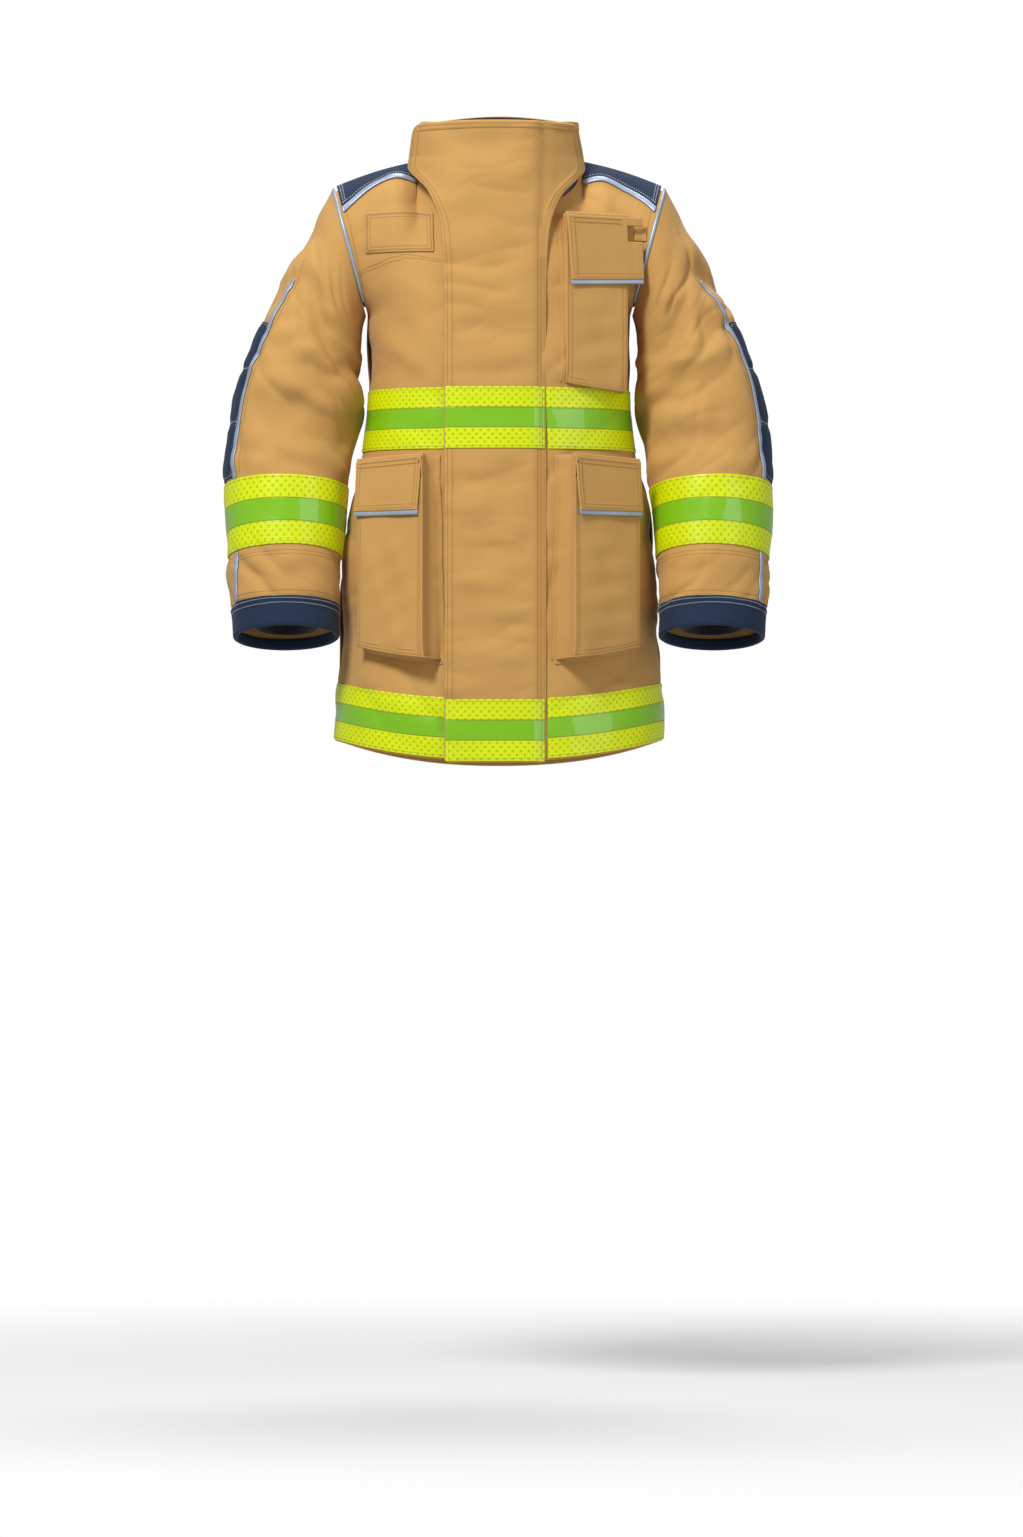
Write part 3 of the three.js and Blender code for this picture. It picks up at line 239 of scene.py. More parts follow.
class Surface:
    # a cloth's outer face, as points over u and v; at() reads it anywhere, lifted off by an offset
    def __init__(self, us, vs, points, turned=1, loop=False):
        self.us, self.vs, self.points, self.turned, self.loop = us, vs, points, turned, loop
        if loop:
            ahead = np.concatenate([points[1:], points[1:2]])
            behind = np.concatenate([points[-2:-1], points[:-1]])
            du = ahead - behind
        else:
            du = np.gradient(points, us, axis=0)
        dv = np.gradient(points, vs, axis=1)
        self.normals = unit(np.cross(du, dv) * turned)

    def read(self, grid, u, v):
        u, v = np.broadcast_arrays(np.asarray(u, float), np.asarray(v, float))
        if self.loop:
            u = u % 1.0
        i = np.clip(np.searchsorted(self.us, u, side="right") - 1, 0, len(self.us) - 2)
        j = np.clip(np.searchsorted(self.vs, v, side="right") - 1, 0, len(self.vs) - 2)
        a = clamp((u - self.us[i]) / (self.us[i + 1] - self.us[i]))[..., None]
        b = clamp((v - self.vs[j]) / (self.vs[j + 1] - self.vs[j]))[..., None]
        return (grid[i, j] * (1 - a) * (1 - b) + grid[i + 1, j] * a * (1 - b)
                + grid[i, j + 1] * (1 - a) * b + grid[i + 1, j + 1] * a * b)

    def smoothRead(self, u, v):
        # reads one number with rounded steps between the grid's points
        i = np.interp(u, self.us, np.arange(len(self.us)))
        j = np.interp(v, self.vs, np.arange(len(self.vs)))
        low, down = np.floor(i).astype(int), np.floor(j).astype(int)
        total, weightSum = 0, 0
        for di in (-1, 0, 1, 2):
            for dj in (-1, 0, 1, 2):
                a, b = np.abs(i - low - di) / 2, np.abs(j - down - dj) / 2
                weight = (1 - smooth(a)) * (1 - smooth(b))
                last = len(self.us) - 1
                column = (low + di) % last if self.loop else np.clip(low + di, 0, last)
                total = total + weight * self.points[column, np.clip(down + dj, 0, len(self.vs) - 1), 0]
                weightSum = weightSum + weight
        return total / weightSum

    def normal(self, u, v):
        return unit(self.read(self.normals, u, v))

    def at(self, u, v, offset=0.0):
        return self.read(self.points, u, v) + self.normal(u, v) * np.asarray(offset, float)[..., None]

    def moved(self, amount):
        points = self.points + self.normals * amount[..., None]
        return Surface(self.us, self.vs, points, self.turned, self.loop)


def swell(a, b, size, height, seed):
    # soft irregular waves about size millimetres long
    random = np.random.default_rng(seed)
    total = 0
    for _ in range(7):
        angle, phase = random.uniform(0, 2 * math.pi, 2)
        length = size * random.uniform(0.7, 1.5)
        total = total + np.sin((a * math.cos(angle) + b * math.sin(angle)) * 2 * math.pi / length + phase)
    return total * height / 2.6


def creases(a, b, size, lean, height, seed):
    # patches of long soft creases, size millimetres apart and leaning lean degrees from level
    lean = math.radians(lean)
    along, across = a * math.cos(lean) + b * math.sin(lean), b * math.cos(lean) - a * math.sin(lean)
    bent = across + swell(along, across, size * 3.2, size * 0.30, seed)
    ridge = np.abs(np.sin(bent * math.pi / size))
    where = smooth(0.45 + 0.75 * swell(along * 0.6, across, size * 2.4, 1, seed + 1))
    return height * where * (1 - 2 * (1 - ridge) ** 1.6)


def foldField(a, b, folds, period=0):
    # ridges (height above 0) and valleys along given lines; width is how far each one spreads
    total = np.zeros(np.broadcast(a, b).shape)
    shifts = (-period, 0, period) if period else (0,)
    for line, width, height in folds:
        line = np.array(line, float)
        lengths = np.hypot(*(line[1:] - line[:-1]).T)
        starts = np.concatenate([[0], np.cumsum(lengths)])
        nearest = np.full(total.shape, 1e9)
        share = np.zeros(total.shape)
        for p, q, length, start in zip(line, line[1:], lengths, starts):
            d = (q - p) / length
            for shift in shifts:
                t = np.clip((a + shift - p[0]) * d[0] + (b - p[1]) * d[1], 0, length)
                apart = np.hypot(a + shift - p[0] - t * d[0], b - p[1] - t * d[1])
                closer = apart < nearest
                nearest = np.where(closer, apart, nearest)
                share = np.where(closer, (start + t) / starts[-1], share)
        taper = smooth(np.minimum(share, 1 - share) * 3.2 + 0.08)
        total += height * taper * np.exp(-(nearest / width) ** 2)
    return total


def steps(start, end, count):
    return np.linspace(start, end, count + 1)


crumpling = {
    "frames": 20,
    "mesh": 7.0,        # millimetres between the points of the coarse cloth
    "spare": 0.05,      # share by which the cloth is longer than its place
    "jitter": 0.5,
    "mass": 0.15,
    "pressure": 2.0,
    "quality": 6,
    "tension": 12.0,
    "bending": 0.25,
    "easing": 2,
}


def crumple(surface, hold, cap, seed):
    # the cloth gets a little spare length and is let go in a short simulation, so that folds form by
    # themselves; hold is 1 where it is sewn down, and no point moves further than cap millimetres off its place
    across = np.linalg.norm(np.diff(surface.points[:, len(surface.vs) // 2], axis=0), axis=1).sum()
    down = np.linalg.norm(np.diff(surface.points[len(surface.us) // 2], axis=0), axis=1).sum()
    us = steps(surface.us[0], surface.us[-1], int(across / crumpling["mesh"]))
    vs = steps(surface.vs[0], surface.vs[-1], int(down / crumpling["mesh"]))
    columns = us[:-1] if surface.loop else us
    u, v = np.meshgrid(columns, vs, indexing="ij")
    random = np.random.default_rng(seed)
    start = surface.at(u, v, random.uniform(-crumpling["jitter"], crumpling["jitter"], u.shape))
    index = np.arange(u.size).reshape(u.shape)
    ahead = np.concatenate([index[1:], index[:1]]) if surface.loop else index[1:]
    behind = index if surface.loop else index[:-1]
    quads = np.stack([behind[:, :-1], ahead[:, :-1], ahead[:, 1:], behind[:, 1:]], -1).reshape(-1, 4)
    trial = meshFrom("trialCloth", start.reshape(-1, 3), quads)
    held = trial.vertex_groups.new(name="held")
    sewn = np.asarray(hold(u, v)).reshape(-1)
    for place in np.nonzero(sewn > 0.01)[0]:
        held.add([int(place)], float(sewn[place]), "REPLACE")
    modifier = trial.modifiers.new("cloth", "CLOTH")
    modifier.point_cache.frame_start, modifier.point_cache.frame_end = 1, crumpling["frames"]
    cloth = modifier.settings
    cloth.quality = crumpling["quality"]
    cloth.mass = crumpling["mass"]
    cloth.vertex_group_mass = "held"
    cloth.effector_weights.gravity = 0
    cloth.shrink_min = -crumpling["spare"]
    cloth.tension_stiffness = cloth.compression_stiffness = crumpling["tension"]
    cloth.bending_stiffness = crumpling["bending"]
    cloth.use_pressure = True
    cloth.uniform_pressure_force = crumpling["pressure"]
    modifier.collision_settings.use_collision = False
    for moment in range(1, crumpling["frames"] + 1):
        bpy.context.scene.frame_set(moment)
    settled = trial.evaluated_get(bpy.context.evaluated_depsgraph_get()).data
    places = np.empty(len(settled.vertices) * 3)
    settled.vertices.foreach_get("co", places)
    places = places.reshape(*u.shape, 3) * 1000
    bpy.data.objects.remove(trial, do_unlink=True)
    bpy.context.scene.frame_set(1)
    off = np.einsum("ijk,ijk->ij", places - surface.at(u, v), surface.normal(u, v))
    off = cap * np.tanh(off / cap)
    if surface.loop:
        off = np.concatenate([off, off[:1]])
    for _ in range(crumpling["easing"]):
        off[:, 1:-1] = off[:, 1:-1] / 2 + (off[:, :-2] + off[:, 2:]) / 4
        off[1:-1] = off[1:-1] / 2 + (off[:-2] + off[2:]) / 4
    rough = Surface(us, vs, np.repeat(off[..., None], 3, 2), 1, surface.loop)
    wideU, wideV = np.meshgrid(surface.us, surface.vs, indexing="ij")
    print("cloth settled, moved", round(float(off.min()), 1), "to", round(float(off.max()), 1), "mm")
    return surface.moved(rough.smoothRead(wideU, wideV))


def edged(values, near):
    # the same places, with one more close inside each end so that a sheet keeps a crisp edge
    return np.unique(np.concatenate([values, [values[0] + near, values[-1] - near]]))


# mesh making
def meshFrom(name, points, quads, uvs=None):
    mesh = bpy.data.meshes.new(name)
    mesh.vertices.add(len(points))
    mesh.vertices.foreach_set("co", (np.asarray(points) * 0.001).astype(np.float32).ravel())
    mesh.loops.add(quads.size)
    mesh.loops.foreach_set("vertex_index", quads.astype(np.int32).ravel())
    mesh.polygons.add(len(quads))
    mesh.polygons.foreach_set("loop_start", np.arange(0, quads.size, 4, dtype=np.int32))
    mesh.update(calc_edges=True)
    mesh.polygons.foreach_set("use_smooth", np.ones(len(quads), bool))
    if uvs is not None:
        layer = mesh.uv_layers.new(name="Cloth")
        layer.uv.foreach_set("vector", uvs.astype(np.float32).ravel())
    mesh.validate()
    mesh.update()
    piece = bpy.data.objects.new(name, mesh)
    bpy.context.scene.collection.objects.link(piece)
    return piece


def distances(line):
    # how far along a line each of its points lies
    return np.concatenate([[0], np.cumsum(np.linalg.norm(np.diff(line, axis=0), axis=1))])


def arcs(points, loop):
    # distances along the middle row and column, in metres, for a cloth's own coordinates
    row = points[:, points.shape[1] // 2]
    if loop:
        row = np.concatenate([row, row[:1]])
    column = points[points.shape[0] // 2]
    return distances(row) * 0.001, distances(column) * 0.001


def sheetPiece(name, points, normals, low, high, loop=False, keep=None, uv=None):
    # a closed sheet between two offsets of a grid of points, with rounded rims
    wide, tall = points.shape[:2]
    low, high = np.broadcast_to(low, (wide, tall)), np.broadcast_to(high, (wide, tall))
    outer = points + normals * high[..., None]
    inner = points + normals * low[..., None]
    i, j = np.meshgrid(np.arange(wide if loop else wide - 1), np.arange(tall - 1), indexing="ij")
    i, j = i.ravel(), j.ravel()
    if keep is not None:
        chosen = keep[i, j]
        i, j = i[chosen], j[chosen]
    nextI = (i + 1) % wide
    quads = np.stack([i * tall + j, nextI * tall + j, nextI * tall + j + 1, i * tall + j + 1], axis=1)
    flat = outer.reshape(-1, 3)
    facing = np.cross(flat[quads[:, 2]] - flat[quads[:, 0]], flat[quads[:, 3]] - flat[quads[:, 1]])
    turned = np.sum(facing * normals.reshape(-1, 3)[quads[:, 0]]) < 0
    s, t = arcs(points, loop) if uv is None else uv
    corners = np.stack([
        np.stack([s[i], t[j]], 1), np.stack([s[i + 1], t[j]], 1),
        np.stack([s[i + 1], t[j + 1]], 1), np.stack([s[i], t[j + 1]], 1),
    ], axis=1)
    if turned:
        quads, corners = quads[:, ::-1], corners[:, ::-1]
    count = wide * tall
    edges = np.stack([quads, np.roll(quads, -1, axis=1)], axis=2).reshape(-1, 2)
    edgeUvs = np.stack([corners, np.roll(corners, -1, axis=1)], axis=2).reshape(-1, 2, 2)
    atRim = ~np.isin(edges[:, 0] * count + edges[:, 1], edges[:, 1] * count + edges[:, 0])
    rim, rimUvs = edges[atRim], edgeUvs[atRim]
    flatNormals = normals.reshape(-1, 3)
    away = np.zeros((count, 3))
    sideways = np.cross(flat[rim[:, 1]] - flat[rim[:, 0]], flatNormals[rim[:, 0]])
    np.add.at(away, rim[:, 0], unit(sideways))
    np.add.at(away, rim[:, 1], unit(sideways))
    thick = (high - low).reshape(-1, 1)
    middle = (outer.reshape(-1, 3) + inner.reshape(-1, 3)) / 2 + unit(away) * thick * 0.45
    rimUsed, place = np.unique(rim, return_inverse=True)
    place = place.reshape(rim.shape) + 2 * count
    allPoints = np.concatenate([flat, inner.reshape(-1, 3), middle[rimUsed]])
    a, b = rim[:, 0], rim[:, 1]
    rimQuads = np.concatenate([
        np.stack([b, a, place[:, 0], place[:, 1]], 1),
        np.stack([place[:, 1], place[:, 0], a + count, b + count], 1),
    ])
    rimCorners = np.stack([rimUvs[:, 1], rimUvs[:, 0], rimUvs[:, 0], rimUvs[:, 1]], axis=1)
    allQuads = np.concatenate([quads, quads[:, ::-1] + count, rimQuads])
    allUvs = np.concatenate([corners, corners[:, ::-1], rimCorners, rimCorners])
    used, compact = np.unique(allQuads, return_inverse=True)
    return meshFrom(name, allPoints[used], compact.reshape(allQuads.shape), allUvs)


def clothPiece(name, surface, us, vs, low, high, keep=None, uv=None):
    # a sheet cut from a surface
    loop = surface.loop and abs(us[-1] - us[0] - 1) < 1e-6
    columns = us[:-1] if loop else us
    u, v = np.meshgrid(columns, vs, indexing="ij")
    return sheetPiece(name, surface.at(u, v), surface.normal(u, v), low, high, loop, keep, uv)


def readAlong(at, along, values):
    return np.stack([np.interp(at, along, values[:, k]) for k in range(3)], 1)


def threads(name, runs, pitch=3.3, length=2.3, radius=0.36, sides=6):
    # stitches along runs of (points, normals); each one is a short rounded length of thread
    rings = [(-0.5, 0.35, -0.5), (-0.22, 1.0, 0.1), (0.22, 1.0, 0.1), (0.5, 0.35, -0.5)]
    turns = np.arange(sides) * 2 * math.pi / sides
    points, quads, base = [], [], 0
    for line, normals in runs:
        along = distances(line)
        number = int(along[-1] // pitch)
        if number < 1:
            continue
        at = (np.arange(number) + 0.5) * along[-1] / number
        middle = readAlong(at, along, line)
        before = readAlong(at - length / 2, along, line)
        after = readAlong(at + length / 2, along, line)
        up = unit(readAlong(at, along, normals))
        ahead = unit(after - before)
        aside = unit(np.cross(ahead, up))
        for shift, size, lift in rings:
            centre = middle + ahead * shift * length + up * lift * radius
            for turn in turns:
                points.append(centre + (aside * math.cos(turn) + up * math.sin(turn)) * radius * size)
        block = len(rings) * sides
        stack = np.array(points[-block:]).transpose(1, 0, 2).reshape(-1, 3)
        del points[-block:]
        points.append(stack)
        one = []
        for r in range(len(rings) - 1):
            for k in range(sides):
                a, b = r * sides + k, r * sides + (k + 1) % sides
                one.append([a, b, b + sides, a + sides])
        last = (len(rings) - 1) * sides
        ends = [[3, 2, 1, 0], [5, 4, 3, 0]]
        one += ends + [[last + k for k in (0, 1, 2, 3)], [last + k for k in (0, 3, 4, 5)]]
        quads.append((np.array(one)[None] + (base + np.arange(number) * block)[:, None, None]).reshape(-1, 4))
        base += number * block
    return meshFrom(name, np.concatenate(points), np.concatenate(quads))


def seamRun(surface, us, vs, offset):
    # a line of stitches on a surface, given by its corners
    us, vs = np.asarray(us, float), np.asarray(vs, float)
    rough = surface.at(us, vs)
    lengths = distances(rough)
    count = max(8, int(lengths[-1] / 4))
    at = np.linspace(0, lengths[-1], count)
    u, v = np.interp(at, lengths, us), np.interp(at, lengths, vs)
    return surface.at(u, v, np.full(u.shape, float(offset))), surface.normal(u, v)


def ride(piece, body, finish, slotName, *nodes):
    piece.data.materials.clear()
    piece.data.materials.append(finish)
    if nodes:
        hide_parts(*nodes)
    if body:
        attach(piece, body)
    return piece


elbow = {"reach": 0.062}    # metres above and below the elbow's pivot that mark out the span where a piece would bend


def bendElbow(piece, side, finish, slotName, *nodes):
    # a piece that crosses the elbow is given its finish and left where it is, on no body; the span about the
    # elbow's pivot is worked out but not used to bend it
    ride(piece, None, finish, slotName, *nodes)
    pivot = next(j for j in frame["joints"] if j["name"] == words[side] + "_elbow")["pos_m"]
    start = (pivot[0], pivot[1], pivot[2] + elbow["reach"])
    end = (pivot[0], pivot[1], pivot[2] - elbow["reach"])
    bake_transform(piece)
    return piece


# shader making
class Link:
    def __init__(self, finish, socket):
        self.finish, self.socket = finish, socket

    def maths(self, operation, *values):
        return self.finish.node("ShaderNodeMath", {"operation": operation}, dict(enumerate(values)))

    def __add__(self, other):
        return self.maths("ADD", self, other)

    def __radd__(self, other):
        return self.maths("ADD", other, self)

    def __sub__(self, other):
        return self.maths("SUBTRACT", self, other)

    def __rsub__(self, other):
        return self.maths("SUBTRACT", other, self)

    def __mul__(self, other):
        return self.maths("MULTIPLY", self, other)

    def __rmul__(self, other):
        return self.maths("MULTIPLY", other, self)

    def __truediv__(self, other):
        return self.maths("DIVIDE", self, other)

    def __abs__(self):
        return self.maths("ABSOLUTE", self)

    def sine(self):
        return self.maths("SINE", self)

    def floor(self):
        return self.maths("FLOOR", self)

    def fraction(self):
        return self.maths("FRACT", self)

    def power(self, other):
        return self.maths("POWER", self, other)

    def between(self, low, high, start=0.0, end=1.0):
        settings = {"interpolation_type": "SMOOTHSTEP"}
        values = {0: self, 1: low, 2: high, 3: start, 4: end}
        return self.finish.node("ShaderNodeMapRange", settings, values)

    def part(self, name):
        return self.finish.node("ShaderNodeSeparateXYZ", {}, {0: self}, name)


class Finish:
    def __init__(self, name, **settings):
        self.material = bpy.data.materials.new(name)
        self.material.use_nodes = True
        self.tree = self.material.node_tree
        self.shader = self.tree.nodes["Principled BSDF"]
        for key, value in settings.items():
            self.set(key, value)

    def node(self, kind, settings=None, values=None, out=0):
        made = self.tree.nodes.new(kind)
        for key, value in (settings or {}).items():
            if key == "stops":
                while len(made.color_ramp.elements) < len(value):
                    made.color_ramp.elements.new(1.0)
                for element, (place, colour) in zip(made.color_ramp.elements, value):
                    element.position, element.color = place, (*colour, 1.0)
            else:
                setattr(made, key, value)
        for key, value in (values or {}).items():
            self.feed(made.inputs[key], value)
        return Link(self, made.outputs[out])

    def feed(self, socket, value):
        if isinstance(value, Link):
            self.tree.links.new(value.socket, socket)
        elif isinstance(value, tuple) and len(value) == 3 and socket.type == "RGBA":
            socket.default_value = (*value, 1.0)
        else:
            socket.default_value = value

    def set(self, name, value):
        self.feed(self.shader.inputs[name.replace("_", " ")], value)

    def blend(self, factor, first, second, mode="MIX"):
        settings = {"data_type": "RGBA", "blend_type": mode}
        return self.node("ShaderNodeMix", settings, {0: factor, 6: first, 7: second}, 2)

    def noise(self, place, scale, detail=3.0, rough=0.5):
        values = {"Vector": place, "Scale": scale, "Detail": detail, "Roughness": rough}
        return self.node("ShaderNodeTexNoise", {}, values)

    def bump(self, height, distance, strength=1.0, normal=None):
        values = {"Height": height, "Distance": distance, "Strength": strength}
        if normal:
            values["Normal"] = normal
        return self.node("ShaderNodeBump", {}, values)

    def uv(self):
        return self.node("ShaderNodeUVMap", {"uv_map": "Cloth"})

    def place(self):
        return self.node("ShaderNodeTexCoord", {}, {}, "Object")


def wovenCloth(name, colour, yarn, bumpDepth, sheen, shade=0.10, rough=0.86):
    # a plain-woven canvas: crossing yarns, slubs, soft blotches and a little sheen
    finish = Finish(name, Sheen_Weight=sheen, Sheen_Roughness=0.45, Specular_IOR_Level=0.22)
    uv, place = finish.uv(), finish.place()
    across, along = uv.part("X"), uv.part("Y")
    waveA = (across * (2 * math.pi / yarn)).sine()
    waveB = (along * (2 * math.pi / yarn)).sine()
    weave = waveA * waveB
    slub = finish.noise(place, 420, 4, 0.6)
    blotch = finish.noise(place, 9, 4, 0.55)
    grain = finish.noise(place, 1500, 2, 0.5)
    spots = (blotch - 0.5) * shade * 2 + (slub - 0.5) * shade * 0.9
    shadeBy = spots + (grain - 0.5) * shade * 0.5 + weave * 0.025
    dark = tuple(c * 0.62 for c in colour)
    light = tuple(min(1.0, c * 1.28) for c in colour)
    finish.set("Base_Color", finish.blend(shadeBy.between(-0.5, 0.5), dark, light))
    finish.set("Roughness", rough + (slub - 0.5) * 0.12)
    fine = finish.bump(weave + grain * 0.8, bumpDepth, 0.55)
    finish.set("Normal", finish.bump(finish.noise(place, 70, 3, 0.5) + slub * 0.35, 0.0007, 0.45, fine))
    return finish.material


def threadFinish(name, colour):
    finish = Finish(name, Specular_IOR_Level=0.35, Sheen_Weight=0.15)
    place = finish.place()
    tone = finish.noise(place, 300, 2)
    finish.set("Base_Color", finish.blend(tone, tuple(c * 0.75 for c in colour), colour))
    finish.set("Roughness", 0.55 + tone * 0.2)
    finish.set("Normal", finish.bump(finish.noise(place, 2500, 2), 0.0001, 0.5))
    return finish.material


tape = {
    "width": 0.076,
    "stripe": 0.0253,       # width of each of the three stripes
    "lime": (0.64, 0.74, 0.0),
    "green": (0.21, 0.52, 0.006),
    "dot": (0.28, 0.44, 0.004),
    "dotPitch": 0.0098,
    "dotRadius": 0.0019,
    "border": (0.13, 0.24, 0.005),
    "prism": 0.0032,        # size of the fine pattern in the reflective stripe
    # strength of the painted glow, the light the tape gives off in its own colours
    "paintedGlow": 0.12,
}


def reflectiveTape(name):
    # lime stripes with printed dots on both sides of a glossy green reflective stripe, under a clear film; the
    # tape also gives off its own colours as a painted glow
    finish = Finish(name, Coat_Roughness=0.06, Coat_IOR=1.5, Specular_IOR_Level=0.3)
    uv, place = finish.uv(), finish.place()
    along, across = uv.part("X"), uv.part("Y")
    centre = abs(across - tape["width"] / 2)
    green = 1 - centre.between(tape["stripe"] / 2 - 0.0006, tape["stripe"] / 2 + 0.0006)
    row = (across / (tape["dotPitch"] / 2)).floor()
    shift = (row * 0.5).fraction()
    cellX = (along / tape["dotPitch"] + shift).fraction() - 0.5
    cellY = (across / (tape["dotPitch"] / 2)).fraction() - 0.5
    distance = ((cellX * tape["dotPitch"]).power(2) + (cellY * tape["dotPitch"] / 2).power(2)).power(0.5)
    dot = 1 - distance.between(tape["dotRadius"] * 0.75, tape["dotRadius"] * 1.1)
    outer = 1 - green
    tone = finish.noise(place, 14, 3)
    lime = finish.blend(tone.between(0.3, 0.7), tuple(c * 0.93 for c in tape["lime"]), tape["lime"])
    dotted = finish.blend(dot * 0.7, lime, tape["dot"])
    perPrism = 2 * math.pi / tape["prism"]
    prism = (along * perPrism).sine() * (across * perPrism).sine()
    greenTone = finish.blend(prism.between(-1, 1), tuple(c * 0.82 for c in tape["green"]), tape["green"])
    border = 1 - (abs(centre - tape["stripe"] / 2)).between(0.0003, 0.0011)
    colour = finish.blend(green, dotted, greenTone)
    finish.set("Base_Color", finish.blend(border * 0.6, colour, tape["border"]))
    # painted glow: the tape's colours are emitted as light, though the tape is no lamp
    finish.set("Emission_Color", colour)
    finish.set("Emission_Strength", tape["paintedGlow"])
    finish.set("Roughness", 0.42 - green * 0.16)
    finish.set("Coat_Weight", 0.18 + green * 0.6)
    ripple = finish.noise(place, 42, 3, 0.6)
    film = finish.bump(ripple, 0.0016, 0.35)
    finish.set("Normal", finish.bump(prism * green * 0.5 + dot * outer * 0.6 - border, 0.00025, 0.6, film))
    return finish.material


def greyReflective(name):
    finish = Finish(name, Specular_IOR_Level=0.6, Coat_Roughness=0.2)
    place = finish.place()
    beads = finish.node("ShaderNodeTexVoronoi", {}, {"Vector": place, "Scale": 1600.0}, "Distance")
    tone = finish.noise(place, 60, 3)
    finish.set("Base_Color", finish.blend(tone, (0.27, 0.34, 0.46), (0.42, 0.49, 0.60)))
    finish.set("Roughness", 0.34 + beads * 0.2)
    finish.set("Metallic", 0.25 + tone * 0.1)
    finish.set("Coat_Weight", 0.15 + tone * 0.1)
    finish.set("Normal", finish.bump(beads, 0.0002, 0.35))
    return finish.material


quilt = {"diamond": 0.042, "yarn": 0.0009}


def quiltedLiner(name):
    # lining cloth sewn to its padding in diamonds, with painted shade darkening the sewn valleys between the
    # puffs
    finish = Finish(name, Sheen_Weight=0.25, Specular_IOR_Level=0.3)
    uv, place = finish.uv(), finish.place()
    across, along = uv.part("X"), uv.part("Y")
    a = (across + along) * (math.pi / quilt["diamond"])
    b = (across - along) * (math.pi / quilt["diamond"])
    puff = (abs(a.sine())).power(0.45) * (abs(b.sine())).power(0.45)
    perYarn = 2 * math.pi / quilt["yarn"]
    weave = (across * perYarn).sine() * (along * perYarn).sine()
    tone = finish.noise(place, 25, 3)
    colour = finish.blend(tone, (0.028, 0.030, 0.036), (0.050, 0.053, 0.060))
    # painted shade: the colour is darkened along the sewn lines, where the puff sinks
    finish.set("Base_Color", finish.blend(puff.between(0.0, 0.35), (0.012, 0.013, 0.016), colour))
    finish.set("Roughness", 0.72 + weave * 0.05)
    fine = finish.bump(weave, 0.0001, 0.4)
    finish.set("Normal", finish.bump(puff, 0.004, 0.8, fine))
    return finish.material


def knitFinish(name):
    # a ribbed knit, with painted shade in the grooves between the ribs
    finish = Finish(name, Sheen_Weight=0.4, Specular_IOR_Level=0.15)
    uv, place = finish.uv(), finish.place()
    rib = abs((uv.part("X") * (math.pi / 0.0045)).sine())
    loops = (uv.part("Y") * (2 * math.pi / 0.0022) + rib * 2.5).sine()
    tone = finish.noise(place, 90, 3)
    dark = finish.blend(tone, (0.012, 0.014, 0.019), (0.030, 0.034, 0.042))
    # painted shade: darker in the grooves between the ribs
    finish.set("Base_Color", finish.blend(rib.between(0.1, 0.8), (0.006, 0.007, 0.009), dark))
    finish.set("Roughness", 0.85 + loops * 0.06)
    finish.set("Normal", finish.bump(rib + loops * 0.25, 0.0012, 0.8))
    return finish.material


def hookFinish(name):
    finish = Finish(name, Sheen_Weight=0.5, Specular_IOR_Level=0.2)
    place = finish.place()
    fuzz = finish.noise(place, 1100, 4, 0.7)
    patch = finish.noise(place, 40, 3)
    finish.set("Base_Color", finish.blend(fuzz, (0.16, 0.095, 0.032), (0.36, 0.23, 0.09)))
    finish.set("Roughness", 0.9 + patch * 0.08)
    finish.set("Normal", finish.bump(fuzz + patch * 0.3, 0.0012, 0.9))
    return finish.material


def plasticFinish(name, colour):
    finish = Finish(name, Specular_IOR_Level=0.5)
    place = finish.place()
    tone = finish.noise(place, 220, 3)
    finish.set("Base_Color", finish.blend(tone, tuple(c * 0.8 for c in colour), colour))
    finish.set("Roughness", 0.34 + tone * 0.16)
    finish.set("Normal", finish.bump(finish.noise(place, 900, 2), 0.0001, 0.3))
    return finish.material


def metalFinish(name):
    finish = Finish(name)
    place = finish.place()
    wear = finish.noise(place, 160, 4, 0.65)
    finish.set("Base_Color", finish.blend(wear, (0.38, 0.37, 0.35), (0.62, 0.61, 0.58)))
    finish.set("Metallic", 0.9 + wear * 0.1)
    finish.set("Roughness", 0.24 + wear * 0.22)
    finish.set("Normal", finish.bump(finish.noise(place, 700, 3), 0.0001, 0.35))
    return finish.material


tanCloth = wovenCloth("tanShellCloth", (0.60, 0.335, 0.100), 0.0011, 0.00011, 0.12)
navyCloth = wovenCloth("navyCloth", (0.014, 0.031, 0.070), 0.0012, 0.00013, 0.06, 0.16, 0.8)
linerCloth = quiltedLiner("quiltedLiner")
collarCloth = wovenCloth("collarLining", (0.03, 0.032, 0.038), 0.0010, 0.0001, 0.25, 0.14)
knitCloth = knitFinish("ribKnit")
limeTape = reflectiveTape("limeTape")
greyTape = greyReflective("greyReflective")
hookTape = hookFinish("hookAndLoop")
zipCloth = wovenCloth("zipTape", (0.30, 0.17, 0.055), 0.0008, 0.0001, 0.2)
zipPlastic = plasticFinish("zipPlastic", (0.018, 0.018, 0.02))
zipMetal = metalFinish("zipMetal")
tanThread = threadFinish("tanThread", (0.40, 0.205, 0.052))
paleThread = threadFinish("paleThread", (0.84, 0.84, 0.80))
darkThread = threadFinish("darkThread", (0.24, 0.125, 0.03))
blackThread = threadFinish("blackThread", (0.02, 0.02, 0.024))
print("finishes made")

